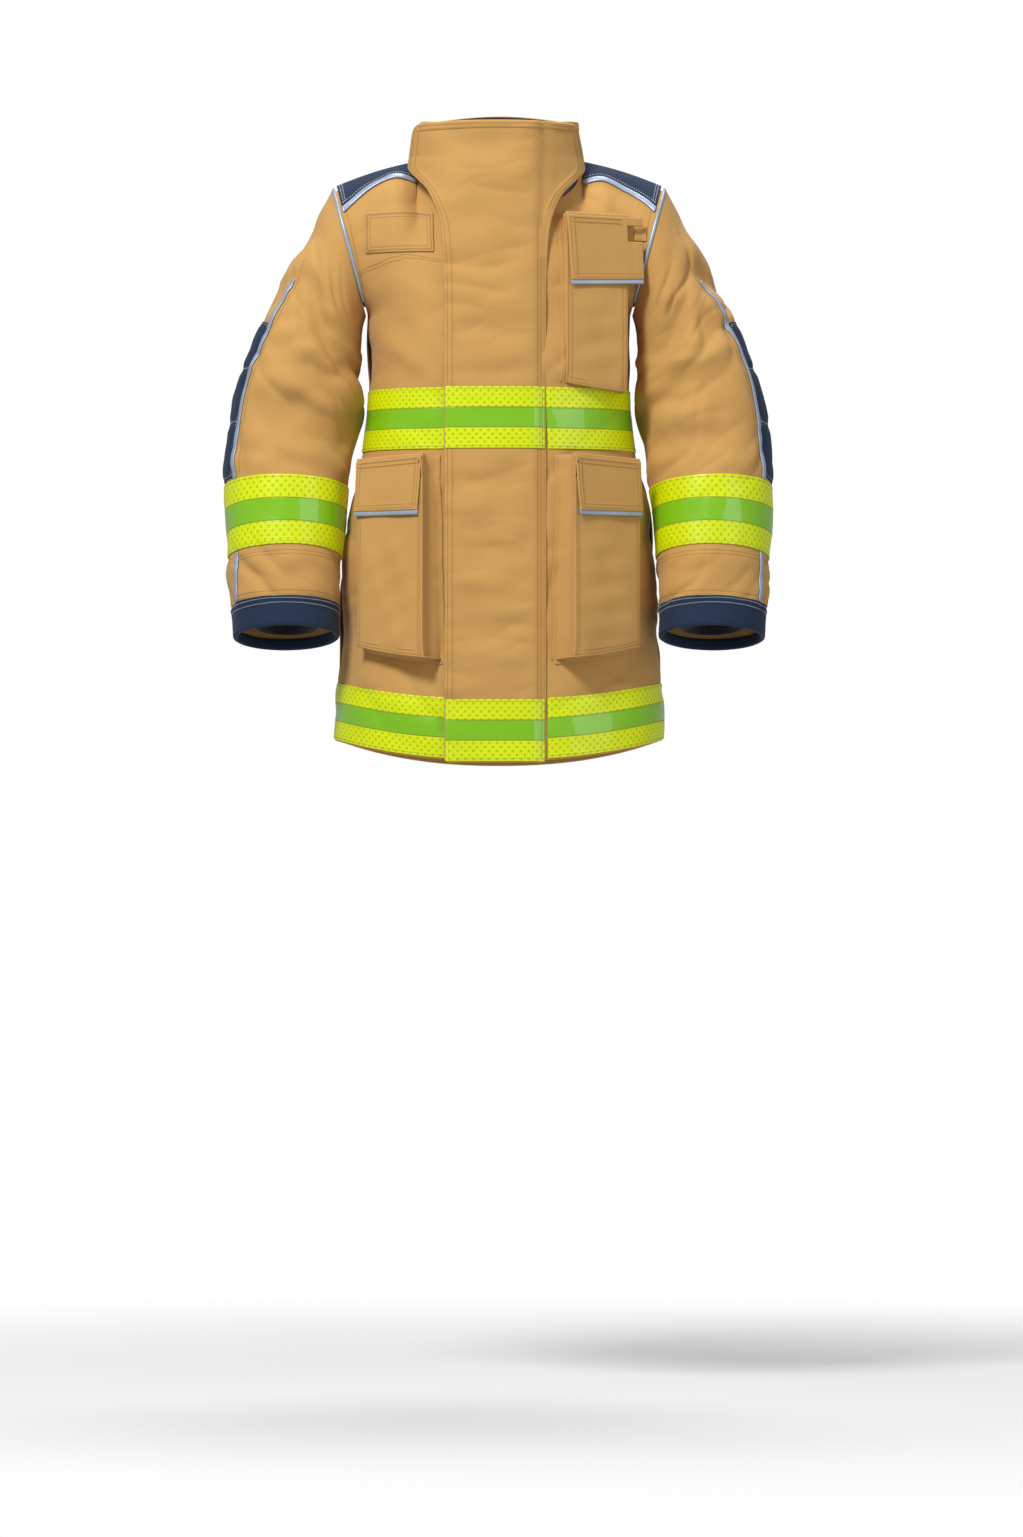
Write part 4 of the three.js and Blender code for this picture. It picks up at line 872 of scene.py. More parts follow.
# folds are lines of (place, place) in millimetres, with how wide and how high or deep each one is
body = {
    "columns": 64,
    "rows": 200,
    "swellSize": 150,
    "swellHeight": 2.6,
    "leftFolds": [
        (((150, -150), (120, -205), (112, -262)), 16, -2.6),
        (((95, -300), (120, -375)), 18, -1.5),
        (((175, -420), (178, -560), (190, -650)), 20, -3.5),
        (((75, -390), (72, -500), (78, -640)), 11, -2.2),
    ],
    "rightFolds": [
        (((160, -160), (125, -195), (90, -215)), 15, -3.2),
        (((148, -215), (115, -240), (84, -262)), 14, 2.6),
        (((80, -160), (86, -215), (80, -270)), 12, -2.0),
        (((175, -430), (182, -560), (192, -660)), 20, -3.5),
        (((80, -385), (76, -520), (80, -655)), 11, -2.4),
    ],
    "backFolds": [
        (((-120, -120), (-70, -170), (-60, -240)), 24, -4.0),
        (((120, -125), (75, -175), (60, -250)), 24, -4.0),
        (((-40, -390), (-50, -520), (-44, -640)), 26, -5.0),
        (((60, -380), (52, -500), (66, -650)), 26, -5.0),
        (((-150, -400), (-140, -520), (-150, -650)), 22, 4.5),
        (((150, -400), (138, -520), (152, -640)), 22, 4.5),
        (((0, -180), (6, -270)), 22, 3.0),
    ],
}
bandTop = -coat["chestBandDrop"]
bandFoot = bandTop - coat["bandWidth"]
hemBandTop = rowAt(-coat["length"] + coat["bandWidth"])
chestRows = (rowAt(bandFoot), rowAt(bandTop))


def calmOn(z, across, up):
    # folds fade out at the seams, the armholes and under the reflective bands
    onBand = smooth((z - bandFoot + 26) / 26) * smooth((bandTop + 26 - z) / 26)
    atHem = 1 - smooth(up / (hemBandTop + 0.03))
    atTop = smooth((up - 0.93) / 0.06)
    atArm = smooth((np.abs(across) - 0.86) / 0.13) * smooth((up - 0.66) / 0.08)
    return (1 - 0.7 * onBand) * (1 - 0.55 * atHem) * (1 - atTop) * (1 - atArm)


def frontSurface(side):
    us, vs = steps(0, 1, body["columns"]), steps(0, 1, body["rows"])
    u, v = np.meshgrid(us, vs, indexing="ij")
    points = panelPoint(-1, u, v)
    x, z = points[..., 0], points[..., 2]
    folds = body["leftFolds"] if side > 0 else body["rightFolds"]
    amount = foldField(x, z, folds)
    amount = amount + swell(x, z, body["swellSize"], body["swellHeight"], 5 if side > 0 else 8)
    amount = amount + swell(x, z, 48, 0.5, 21 if side > 0 else 22)
    amount = amount + creases(x, z, 58, 38, 1.5, 31 + side) + creases(x, z, 34, -24, 0.7, 35 + side)
    nearZip = smooth((u - 0.02) / 0.2)
    amount = amount * calmOn(z, u, v) * nearZip
    moved = Surface(us, vs, points, 1).moved(amount)
    return Surface(us, vs, moved.points * (side, 1, 1), side)


def backSurface():
    us, vs = steps(-1, 1, body["columns"] * 2), steps(0, 1, body["rows"])
    u, v = np.meshgrid(us, vs, indexing="ij")
    points = panelPoint(1, np.abs(u), v) * spot(np.where(u < 0, -1, 1), 1, 1)
    x, z = points[..., 0], points[..., 2]
    amount = foldField(x, z, body["backFolds"]) + swell(x, z, 170, 3.4, 11) + swell(x, z, 52, 0.6, 12)
    return Surface(us, vs, points, -1).moved(amount * calmOn(z, u, v))


fronts = {1: frontSurface(1), -1: frontSurface(-1)}
back = backSurface()
print("body surfaces worked out")

stitching = {}


def sew(group, *run, offset=0.0):
    # keeps a line of stitches for the thread piece that is made at the end
    surface, us, vs = run
    stitching.setdefault(group, []).append(seamRun(surface, us, vs, offset))


linerLayer = (-5.6, -2.4)
linerRows = steps(0.09, 0.992, 120)
frontRows = edged(steps(0.0, 0.992, 196), 0.0016)
for side, word in words.items():
    columns = edged(steps(0.035, 0.998, 62), 0.004)
    panel = clothPiece(word + "FrontPanel", fronts[side], columns, frontRows, *shellLayer)
    ride(panel, "coat", tanCloth, "shell_cloth", word + "_front_panel")
    lining = clothPiece(word + "FrontLiner", fronts[side], steps(0.2, 0.998, 44), linerRows, *linerLayer)
    ride(lining, "coat", linerCloth, "liner_cloth", "liner_" + word + "_front")
    sew("coatThread", fronts[side], [0.05, 0.05], [0.004, 0.98], offset=0.1)
    sew("coatThread", fronts[side], [0.045, 0.99], [0.005, 0.005], offset=0.1)
panel = clothPiece("backPanel", back, edged(steps(-0.998, 0.998, 124), 0.002), frontRows, *shellLayer)
ride(panel, "coat", tanCloth, "shell_cloth", "back_panel")
lining = clothPiece("backLiner", back, steps(-0.998, 0.998, 90), linerRows, *linerLayer)
ride(lining, "coat", linerCloth, "liner_cloth", "liner_back")
sew("coatThread", back, [-0.99, 0.99], [0.005, 0.005], offset=0.1)
for share in (-0.975, 0.975):
    sew("coatThread", back, [share, share], [0.01, 0.7], offset=0.1)
print("panels and liners made")

# the stitched seam across the wearer's right chest
chestSeam = ((-176, -137), (-150, -124), (-124, -116), (-98, -116), (-70, -121))
across, up = placeOnFront(*zip(*chestSeam))
for shift in (0.0, -0.006):
    sew("coatThread", fronts[-1], across, up + shift, offset=0.15)

# shoulder yokes over the seam, with reflective piping below each lower edge
yoke = {
    "reach": 0.0504,
    "ends": (0.505, 0.98),
    "low": 0.9,
    "high": 2.4,
    "seamRise": 1.2,
    "pipingStart": 0.002,
    "pipingEnd": 0.0125,
    "pipingLayer": (0.6, 2.8),
}


def yokeSurface(side):
    us, vs = steps(0.5, 0.985, 60), steps(-0.075, 0.075, 44)
    u, v = np.meshgrid(us, vs, indexing="ij")
    front = fronts[side].at(u, 1 - np.abs(v))
    behind = back.at(u * side, 1 - np.abs(v))
    points = np.where((v < 0)[..., None], front, behind)
    points[..., 2] += yoke["seamRise"] * np.exp(-(v / 0.012) ** 2)
    return Surface(us, vs, points, side)


for side, word in words.items():
    shoulder = yokeSurface(side)
    reach = yoke["reach"]
    columns = steps(*yoke["ends"], 56)
    rows = edged(steps(-reach, reach, 40), 0.0012)
    piece = clothPiece(word + "Yoke", shoulder, edged(columns, 0.004), rows, yoke["low"], yoke["high"])
    ride(piece, "coat", navyCloth, "navy_cloth", word + "_shoulder_yoke")
    rows = steps(-reach - yoke["pipingEnd"], -reach - yoke["pipingStart"], 4)
    strip = clothPiece(word + "YokePiping", shoulder, columns, rows, *yoke["pipingLayer"])
    ride(strip, "coat", greyTape, "reflective_piping", word + "_yoke_piping")
    for end in (-1, 1):
        sew("yokeThread", shoulder, [0.51, 0.975], [end * (reach - 0.005)] * 2, offset=yoke["high"])
    for share in (0.967, 0.952):
        sew("yokeThread", shoulder, [share, share], [-reach + 0.004, reach - 0.004], offset=yoke["high"])

# collar: shell outside, dark lining inside
collar = {
    "gap": 1.8,
    "openShare": 0.022,
    "topHalf": 100,
    "front": 46,        # heights
    "side": 56,
    "back": 72,
    "folds": [(((190, 8), (215, 52)), 10, -1.6), (((385, 6), (360, 55)), 12, -1.8)],
}


def collarSurface():
    us, vs = steps(collar["openShare"], 1 - collar["openShare"], 150), steps(0, 1, 30)
    u, v = np.meshgrid(us, vs, indexing="ij")
    angle = u * 2 * math.pi
    c = np.cos(angle)
    across = np.minimum(np.arccos(np.abs(c)) / (math.pi / 2) * coat["seamStart"], coat["seamStart"] - 1e-6)
    front = (c > 0)[..., None]
    base = np.where(front, topEdge(across, -1), topEdge(across, 1))
    base = base * spot(np.where(np.sin(angle) < 0, -1, 1), 1, 1) + (0, 0, collar["gap"])
    topY = np.where(c > 0, coat["frontAtCollar"] + coat["neckMiddle"], coat["neckBack"] - 4)
    height = mix(collar["side"], np.where(c > 0, collar["front"], collar["back"]), c * c)
    top = spot(collar["topHalf"] * np.sin(angle), coat["neckMiddle"] - topY * c, height)
    points = base + (top - base) * v[..., None]
    wave = swell(angle * 90, v * 60, 60, 1.1, 31) * np.sin(math.pi * np.minimum(v * 1.2, 1))
    crease = foldField(angle * 95, v * 60, collar["folds"])
    return Surface(us, vs, points, 1).moved(wave + crease)


neckCloth = collarSurface()
columns = edged(steps(collar["openShare"], 1 - collar["openShare"], 150), 0.001)
shell = clothPiece("collarShell", neckCloth, columns, edged(steps(0, 1, 26), 0.015), *shellLayer)
ride(shell, "coat", tanCloth, "shell_cloth", "collar_shell")
inside = clothPiece("collarLining", neckCloth, columns, edged(steps(0, 0.985, 26), 0.015), -4.4, -2.4)
ride(inside, "coat", collarCloth, "liner_cloth", "collar_lining")
for height in (0.05, 0.1, 0.9, 0.955):
    sew("coatThread", neckCloth, [0.03, 0.97], [height] * 2, offset=0.1)
print("yokes and collar made")

# the storm flap with its throat, cut from one surface over distance from the centre and height
stormFlap = {
    "sewn": 57.6,
    "free": -65.0,
    "wing": 105.0,
    "top": 50.0,
    "foot": -746.0,
    "standOff": 5.6,
    "thickness": 2.2,
    "foldHeight": 1.35,
    "hem": 11.0,
    "hemRise": 0.65,
    "corner": 7.0,
    "folds": [
        (((60, 50), (60, 20), (57, -8)), 6, -2.0),
        (((-58, -118), (-20, -132), (30, -126)), 12, -1.6),
        (((-55, -168), (-10, -176), (45, -160)), 13, 1.8),
        (((-62, -214), (-25, -206), (20, -214)), 12, -1.5),
        (((-20, -250), (25, -243), (52, -250)), 12, 1.3),
        (((-60, -392), (-20, -400), (40, -388)), 12, -1.8),
        (((-62, -440), (-15, -432), (30, -442)), 13, 1.8),
        (((-30, -478), (10, -484), (52, -476)), 12, -1.6),
        (((-62, -530), (-30, -522), (25, -530)), 13, 1.7),
        (((-60, -574), (-10, -582), (50, -572)), 13, -1.9),
        (((-62, -622), (-20, -614), (40, -624)), 12, 1.6),
        (((-75, 38), (-20, 18), (30, 30)), 16, -1.5),
        (((-85, 0), (-40, -18), (20, -10)), 16, 1.4),
    ],
}
flapRaise = curveThrough([(-185, 0), (-95, 0.2), (-20, 0.85), (10, 1)])
throat = curveThrough([(-155, 0), (-80, 0.1), (-40, 0.42), (-8, 1), (4, 1), (50, 0.84)])


def flapSkin(x, z):
    wrap = flapRaise(z)
    wide = mix(np.maximum(halfWidthAt(seamShare(z)), coat["chestHalf"]), stormFlap["wing"] + 2, wrap)
    power = mix(2 / coat["squareness"], 2, wrap)
    middle = mix(0, coat["neckMiddle"], wrap)
    reach = frontDepthAt(z) + middle
    share = np.minimum(0.99, np.abs(x) / wide)
    return spot(x, middle - reach * (1 - share ** power) ** (1 / power), z)


def cornerInset(z):
    r = stormFlap["corner"]
    over = np.clip(z - (stormFlap["top"] - r), 0, r)
    under = np.clip((stormFlap["foot"] + 4) - z, 0, 4)
    return (r - np.sqrt(r * r - over * over)) + (4 - np.sqrt(16 - under * under))


def freeEdge(z):
    return -mix(-stormFlap["free"], stormFlap["wing"], throat(z)) + cornerInset(z)


def sewnEdge(z):
    return mix(stormFlap["sewn"], stormFlap["wing"], throat(z)) - cornerInset(z)


def flapSurface():
    xs, zs = steps(-108, 108, 108), steps(stormFlap["foot"] - 2, stormFlap["top"] + 2, 330)
    x, z = np.meshgrid(xs, zs, indexing="ij")
    bare = Surface(xs, zs, flapSkin(x, z), 1)
    lift = mix(stormFlap["standOff"], 0.8, smooth((x - 41) / 16))
    lift = mix(lift, -1.2, smooth((x - 58) / 18) * smooth((z + 90) / 40))
    onBand = smooth((z - bandFoot + 22) / 22) * smooth((bandTop + 22 - z) / 22)
    atHem = 1 - smooth((z - stormFlap["foot"] - 66) / 24)
    amount = stormFlap["foldHeight"] * foldField(x, z, stormFlap["folds"]) + swell(x, z * 1.8, 90, 0.9, 41)
    amount = amount + swell(x, z, 36, 0.35, 42)
    amount = amount + creases(x, z, 40, -9, 0.8, 43) + creases(x, z, 27, 14, 0.4, 45)
    amount = amount * (1 - 0.75 * onBand) * (1 - 0.7 * atHem) * (1 - 0.8 * smooth((x - 30) / 20))
    points = bare.points + bare.normals * (lift + stormFlap["thickness"] + amount)[..., None]
    return Surface(xs, zs, points, 1)


flapCloth = flapSurface()


def cutFlap():
    # columns keep their distance from both edges, so that the folded hem is equally wide all the way
    near = np.array([0, 0.7, 3, 6, 9.6, stormFlap["hem"]])
    inner = steps(0, 1, 40)[1:-1]
    zs = edged(steps(stormFlap["foot"], stormFlap["top"], 300), 0.8)
    zs = np.unique(np.concatenate([zs, stormFlap["top"] - near, stormFlap["top"] - steps(0, 7, 12)]))
    z = zs[None, :]
    left, right = freeEdge(z), sewnEdge(z)
    between = mix(left + stormFlap["hem"] + 1, right - stormFlap["hem"] - 1, inner[:, None])
    x = np.concatenate([left + near[:, None], between, right - near[::-1, None]])
    z = np.broadcast_to(z, x.shape)
    depth = np.minimum(np.minimum(x - left, stormFlap["top"] - z + 3), np.where(z > -120, right - x, 99))
    high = stormFlap["hemRise"] * (1 - smooth((depth - stormFlap["hem"] + 1.4) / 1.4))
    return sheetPiece("stormFlap", flapCloth.at(x, z), flapCloth.normal(x, z), -stormFlap["thickness"], high)


piece = cutFlap()
ride(piece, None, tanCloth, "shell_cloth", "storm_flap", "throat_wing")
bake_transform(piece)
levels = steps(stormFlap["foot"] + 3, stormFlap["top"] - 4, 240)
for inset in (3.0, 8.5):
    sew("flapThread", flapCloth, freeEdge(levels) + inset, levels, offset=0.75)
    throatLevels = steps(-60, stormFlap["top"] - 4, 40)
    sew("coatThread", flapCloth, sewnEdge(throatLevels) - inset, throatLevels, offset=0.75)
    high = stormFlap["top"] - inset
    sew("flapThread", flapCloth, steps(freeEdge(high) + 4, 52, 60), np.full(61, high), offset=0.75)
    sew("coatThread", flapCloth, steps(66, sewnEdge(high) - 4, 12), np.full(13, high), offset=0.75)
for x in (47.0, 51.5, 55.5):
    sew("flapThread", flapCloth, [x, x], [stormFlap["foot"] + 3, -70], offset=0.1)
sew("flapThread", flapCloth, [-62, 54], [stormFlap["foot"] + 4] * 2, offset=0.1)
print("storm flap made")

# reflective bands round the body and on the flap
bandLayer = (0.6, 1.5)
bandRows = (0.035, 0.34, 0.66, 0.965)    # shares of a band's width at which it is stitched
flapBandEnds = (-64.3, 55.6)


def bandUv(points, loop=False):
    s, t = arcs(points, loop)
    return s, t / t[-1] * tape["width"]


def bodyBand(name, low, high, node):
    # in one length from the flap's sewn edge round the back to the other front edge
    start = placeOnFront([61.0], [mix(-coat["length"], -coat["armpitDrop"], low / coat["chestLine"])])[0][0]
    vs = edged(steps(low, high, 20), 0.0007)
    parts = [
        (fronts[1], steps(start, 0.995, 50)),
        (back, steps(0.995, -0.995, 120)),
        (fronts[-1], steps(0.995, 0.039, 54)),
    ]
    points, normals = [], []
    for surface, us in parts:
        u, v = np.meshgrid(us, vs, indexing="ij")
        points.append(surface.at(u, v))
        normals.append(surface.normal(u, v))
    points, normals = np.concatenate(points), np.concatenate(normals)
    piece = sheetPiece(name, points, normals, *bandLayer, uv=bandUv(points))
    ride(piece, "coat", limeTape, "reflective_band", node)
    for surface, us in parts:
        for share in bandRows:
            sew("bandThread", surface, us[[0, -1]], [mix(low, high, share)] * 2, offset=bandLayer[1])
    return piece


def flapBand(name, foot, node):
    zs = edged(steps(foot, foot + coat["bandWidth"], 20), 0.5)
    xs = edged(steps(*flapBandEnds, 40), 0.6)
    u, v = np.meshgrid(xs, zs, indexing="ij")
    points = flapCloth.at(u, v)
    onHem = 1 - smooth((u - flapBandEnds[0] - 9.6) / 1.6)
    lift = stormFlap["hemRise"] * onHem[..., None] * flapCloth.normal(u, v)
    piece = sheetPiece(name, points + lift, flapCloth.normal(u, v), *bandLayer, uv=bandUv(points))
    ride(piece, "storm_flap", limeTape, "reflective_band", node)
    for share in bandRows:
        z = mix(foot, foot + coat["bandWidth"], share)
        sew("flapBandThread", flapCloth, [-52, 54], [z, z], offset=bandLayer[1])
    ends = [foot + 2, foot + coat["bandWidth"] - 2]
    for x in (-61.0, 52.0):
        sew("flapBandThread", flapCloth, [x, x], ends, offset=bandLayer[1] + 0.4)


chestBand = bodyBand("chestBand", *chestRows, "chest_band")
hemBand = bodyBand("hemBand", 0.002, hemBandTop, "hem_band")
flapBand("flapChestBand", bandFoot, "flap_chest_band")
flapBand("flapHemBand", stormFlap["foot"] + 1, "flap_hem_band")
print("bands made")

# sleeves: rings down the arm; turn 0 is the outer edge, a quarter the front and a half the inner edge
sleeve = {
    "stations": [
        # outer x, z; inner x, z; middle y; half depth; tip in degrees
        ((207, -26), (165, -185), 0, 68, 0),
        ((234, -74), (172, -202), -2, 71, 0),
        ((258, -125), (174, -216), -3, 73, 0),
        ((282, -178), (175, -234), -4, 75, 0),
        ((307, -232), (176, -262), -6, 78, 2),
        ((327, -290), (178, -310), -8, 80, 5),
        ((338, -362), (187, -370), -17, 79, 9),
        ((341, -425), (193, -425), -31, 76, 12),
        ((337, -485), (198, -483), -45, 72, 13),
        ((333, -540), (203, -538), -58, 68, 13),
        ((330, -590), (201, -588), -69, 66, 13),
    ],
    "last": 10,
    "around": 470,         # millimetres round a sleeve and between stations, for placing folds
    "down": 57,
    "gap": 2.4,
    "columns": 112,
    "rows": 190,
    "mostFold": 13,        # millimetres that no fold goes beyond
    # folds as (turn, station) lines
    "leftFolds": [
        (((0.185, 1.9), (0.32, 3.35), (0.40, 4.8)), 17, -8.5),
        (((0.13, 2.2), (0.25, 3.5), (0.31, 4.6)), 22, 6.0),
        (((0.30, 1.6), (0.40, 2.9), (0.47, 4.1)), 18, 5.0),
        (((0.10, 3.75), (0.225, 4.05), (0.33, 3.8)), 11, 3.2),
        (((0.43, 6.05), (0.33, 5.75), (0.19, 5.85)), 12, -5.5),
        (((0.44, 5.5), (0.33, 5.2), (0.20, 5.35)), 15, 5.0),
        (((0.46, 4.9), (0.36, 4.85), (0.26, 5.1)), 10, -4.5),
        (((0.02, 1.3), (0.06, 2.4), (0.07, 3.2)), 18, -3.0),
        (((0.60, 4.4), (0.72, 4.9), (0.84, 4.7)), 20, -6.0),
        (((0.58, 5.3), (0.70, 5.6), (0.82, 5.3)), 20, 5.0),
        (((0.62, 2.2), (0.72, 3.1), (0.76, 3.9)), 22, -5.5),
        (((0.50, 8.5), (0.34, 8.75), (0.18, 8.6)), 14, -2.2),
    ],
    "rightFolds": [
        (((0.135, 1.7), (0.215, 2.3), (0.345, 3.65), (0.46, 4.5)), 16, -8.5),
        (((0.09, 2.1), (0.18, 3.1), (0.30, 4.2)), 22, 5.5),
        (((0.25, 1.6), (0.36, 2.8), (0.46, 3.7)), 18, 5.5),
        (((0.20, 5.0), (0.33, 5.45), (0.455, 6.3)), 14, -6.5),
        (((0.14, 4.5), (0.28, 4.85), (0.42, 5.5)), 17, 6.5),
        (((0.46, 4.9), (0.42, 5.4), (0.45, 5.9)), 13, -6.0),
        (((0.10, 5.6), (0.24, 5.95), (0.36, 6.3)), 14, 4.0),
        (((0.40, 4.3), (0.32, 4.25), (0.22, 4.05)), 10, -4.0),
        (((0.03, 1.2), (0.05, 2.3), (0.06, 3.1)), 18, -3.0),
        (((0.60, 4.5), (0.72, 4.8), (0.84, 4.9)), 20, -6.0),
        (((0.58, 5.4), (0.70, 5.5), (0.82, 5.6)), 20, 5.0),
        (((0.62, 2.4), (0.70, 3.2), (0.77, 3.8)), 22, -5.5),
        (((0.48, 8.7), (0.36, 8.6), (0.20, 8.8)), 14, -2.2),
    ],
}
profile = [curveThrough([(i, pick(s)) for i, s in enumerate(sleeve["stations"])]) for pick in (
    lambda s: s[0][0], lambda s: s[0][1], lambda s: s[1][0], lambda s: s[1][1],
    lambda s: s[2], lambda s: s[3], lambda s: s[4],
)]


def sleeveRing(angle, station):
    outerX, outerZ, innerX, innerZ, y, half, tip = (curve(station) for curve in profile)
    tip = np.radians(tip)
    reach = half * np.sin(angle)
    return spot(
        (outerX + innerX) / 2 + (outerX - innerX) / 2 * np.cos(angle),
        y - np.cos(tip) * reach,
        (outerZ + innerZ) / 2 + (outerZ - innerZ) / 2 * np.cos(angle) + np.sin(tip) * reach,
    )


def sleevePoint(turn, station):
    angle = turn * 2 * math.pi
    rise = mix(coat["chestLine"], 1, (1 + np.cos(angle)) / 2)
    ones = np.ones_like(rise)
    armhole = np.where((np.sin(angle) > 0)[..., None], panelPoint(-1, ones, rise), panelPoint(1, ones, rise))
    near = np.maximum(0, 1 - station)
    off = armhole - sleeveRing(angle, np.zeros_like(station))
    points = sleeveRing(angle, station) + off * (near ** 2)[..., None]
    points[..., 0] += sleeve["gap"] * near
    return points


def sleeveFolds(side):
    scale = (sleeve["around"], sleeve["down"])
    return [
        (tuple((p[0] * scale[0], p[1] * scale[1]) for p in line), width, height)
        for line, width, height in sleeve["leftFolds" if side > 0 else "rightFolds"]
    ]


def sleeveCreases(side, u, a, b):
    # drawn folds, soft waves and creases; a and b are millimetres round the sleeve and down it
    waves = (51, 52) if side > 0 else (57, 58)
    rim = np.cos(2 * math.pi * u) * 60, np.sin(2 * math.pi * u) * 60
    inFront = smooth(np.sin(2 * math.pi * u) * 1.4 + 0.3)
    amount = foldField(a, b, sleeveFolds(side), period=sleeve["around"])
    amount = amount + swell(rim[0] + b * 0.3, rim[1] + b, 95, 2.6, waves[0])
    amount = amount + swell(rim[0] - b * 0.2, rim[1] + b, 40, 0.7, waves[1])
    amount = amount + inFront * creases(a, b, 44, 52, 3.0, 81 + side)
    amount = amount + inFront * creases(a, b, 30, 30, 0.9, 85 + side)
    return amount + (1 - inFront) * creases(a, b, 46, -38, 2.6, 91 + side)


def sleeveFreedom(u, v):
    # how far folds may go: little at the ends, in the armpit and under the band and the elbow pad
    ends = smooth((v - 0.2) / 2.0) * (1 - smooth((v - 9.1) / 0.5))
    onBand = smooth((v - 6.25) / 0.4) * smooth((8.5 - v) / 0.4)
    besidePad = smooth((np.abs((u + 0.5625) % 1 - 0.5) - 0.13) / 0.05)
    onPad = smooth((v - 3.2) / 0.3) * smooth((6.7 - v) / 0.3) * (1 - besidePad)
    atArmpit = smooth((-np.cos(2 * math.pi * u) - 0.1) / 0.6) * smooth((4.2 - v) / 1.6)
    return ends * (1 - 0.75 * onBand) * (1 - 0.45 * onPad) * (1 - 0.85 * atArmpit)


def sewnEnds(turn, station):
    return 1.0 * ((station < 0.15) | (station > 9.4))


def sleeveSurface(side):
    # the shell's surface and the liner's
    us, vs = steps(0, 1, sleeve["columns"]), steps(0, sleeve["last"], sleeve["rows"])
    u, v = np.meshgrid(us, vs, indexing="ij")
    amount = sleeveCreases(side, u, u * sleeve["around"], v * sleeve["down"])
    free = sleeveFreedom(u, v)
    base = Surface(us, vs, sleevePoint(u, v), 1, loop=True)
    drawn = base.moved(amount * free)
    loose = crumple(drawn, sewnEnds, 7.0, 71 if side > 0 else 72)
    crumpled = np.einsum("ijk,ijk->ij", loose.points - drawn.points, drawn.normals)
    most = sleeve["mostFold"]
    total = most * np.tanh((amount + crumpled) * free / most)
    # the liner bridges the narrow valleys of the shell
    lining = total
    for _ in range(8):
        lining = np.minimum(total, blurred(lining))
    lining = blurred(lining)
    return [
        Surface(us, vs, base.moved(move).points * (side, 1, 1), side, loop=True) for move in (total, lining)
    ]


def blurred(grid):
    # a grid that closes on itself in u, with each point eased towards its neighbours
    ring = grid[:-1]
    ring = ring / 2 + (np.roll(ring, 1, axis=0) + np.roll(ring, -1, axis=0)) / 4
    ring = np.concatenate([ring, ring[:1]])
    ring[:, 1:-1] = ring[:, 1:-1] / 2 + (ring[:, :-2] + ring[:, 2:]) / 4
    return ring


sleeves, linings = {}, {}
for side in words:
    sleeves[side], linings[side] = sleeveSurface(side)
perMillimetre = 1 / 50.9            # stations per millimetre near the cuff
pad = {
    "turns": (-0.21, 0.085),
    "stations": (3.35, 6.55),
    "puff": 1.9,
    "ribs": (0.0, 0.335, 0.665, 1.0),
    "rows": (0.012, 0.028, 0.335, 0.665, 0.972, 0.988),
}
sleevePiping = {"turns": (0.0875, 0.0995), "layer": (0.5, 2.3), "upper": (2.2, 6.6), "lower": (8.16, 9.28)}
bandAt = 6.62
cuff = {"height": 36, "rows": (-33.0, -27.0)}
wristlet = {"start": 8.36, "end": 9.764, "narrowTo": -24.0, "thickness": 1.8, "ribs": 62}


def hoopPiece(name, side, section):
    # a closed ring: a section of (millimetres past the sleeve's end, offset) carried round the cuff
    arm, end, count, n = sleeves[side], sleeve["last"], sleeve["columns"], len(section)
    around = steps(0, 1, count)[:-1]
    drop = unit(arm.at(around, end) - arm.at(around, end - 0.4))
    points = np.zeros((count, n, 3))
    for k, (past, offset) in enumerate(section):
        station = end + min(0, past) * perMillimetre
        points[:, k] = arm.at(around, station, np.full(count, float(offset))) + drop * max(0, past)
    i, k = (m.ravel() for m in np.meshgrid(np.arange(count), np.arange(n), indexing="ij"))
    ahead, after = (i + 1) % count, (k + 1) % n
    quads = np.stack([i * n + k, ahead * n + k, ahead * n + after, i * n + after], 1)
    gaps = np.cumsum(np.linalg.norm(np.roll(points[0], -1, axis=0) - points[0], axis=1)) * 0.001
    down = np.concatenate([[0], gaps])
    girth = sleeve["around"] * 0.001 / count
    uvs = np.stack([
        np.stack([i * girth, down[k]], 1), np.stack([(i + 1) * girth, down[k]], 1),
        np.stack([(i + 1) * girth, down[k + 1]], 1), np.stack([i * girth, down[k + 1]], 1),
    ], axis=1)
    if side < 0:
        quads, uvs = quads[:, ::-1], uvs[:, ::-1]
    return meshFrom(name, points.reshape(-1, 3), quads, uvs)


def sewRound(group, arm, station, offset=0.1):
    sew(group, arm, steps(0, 0.999, 40), np.full(41, station), offset=offset)


def elbowPad(side, word, arm):
    # puffed between its rows of stitches
    us, vs = edged(steps(*pad["turns"], 40), 0.002), edged(steps(*pad["stations"], 76), 0.012)
    u, v = np.meshgrid(us, vs, indexing="ij")
    share = (v - vs[0]) / (vs[-1] - vs[0])
    puff = np.ones(u.shape)
    for rib in pad["ribs"]:
        puff = np.minimum(puff, smooth(np.abs(share - rib) / 0.05))
    edge = smooth(np.minimum(u - us[0], us[-1] - u) / 0.018)
    high = 1.5 + pad["puff"] * puff * edge
    piece = sheetPiece(word + "ElbowPad", arm.at(u, v), arm.normal(u, v), 0.6, high)
    bendElbow(piece, side, navyCloth, "navy_cloth", word + "_elbow_pad")
    group = word + "PadThread"
    for row in pad["rows"]:
        sew(group, arm, [us[0] + 0.004, us[-1] - 0.004], [mix(*pad["stations"], row)] * 2, offset=1.6)
    for turn in (us[0] + 0.005, us[-1] - 0.006):
        sew(group, arm, [turn, turn], [vs[0] + 0.05, vs[-1] - 0.05], offset=1.6)


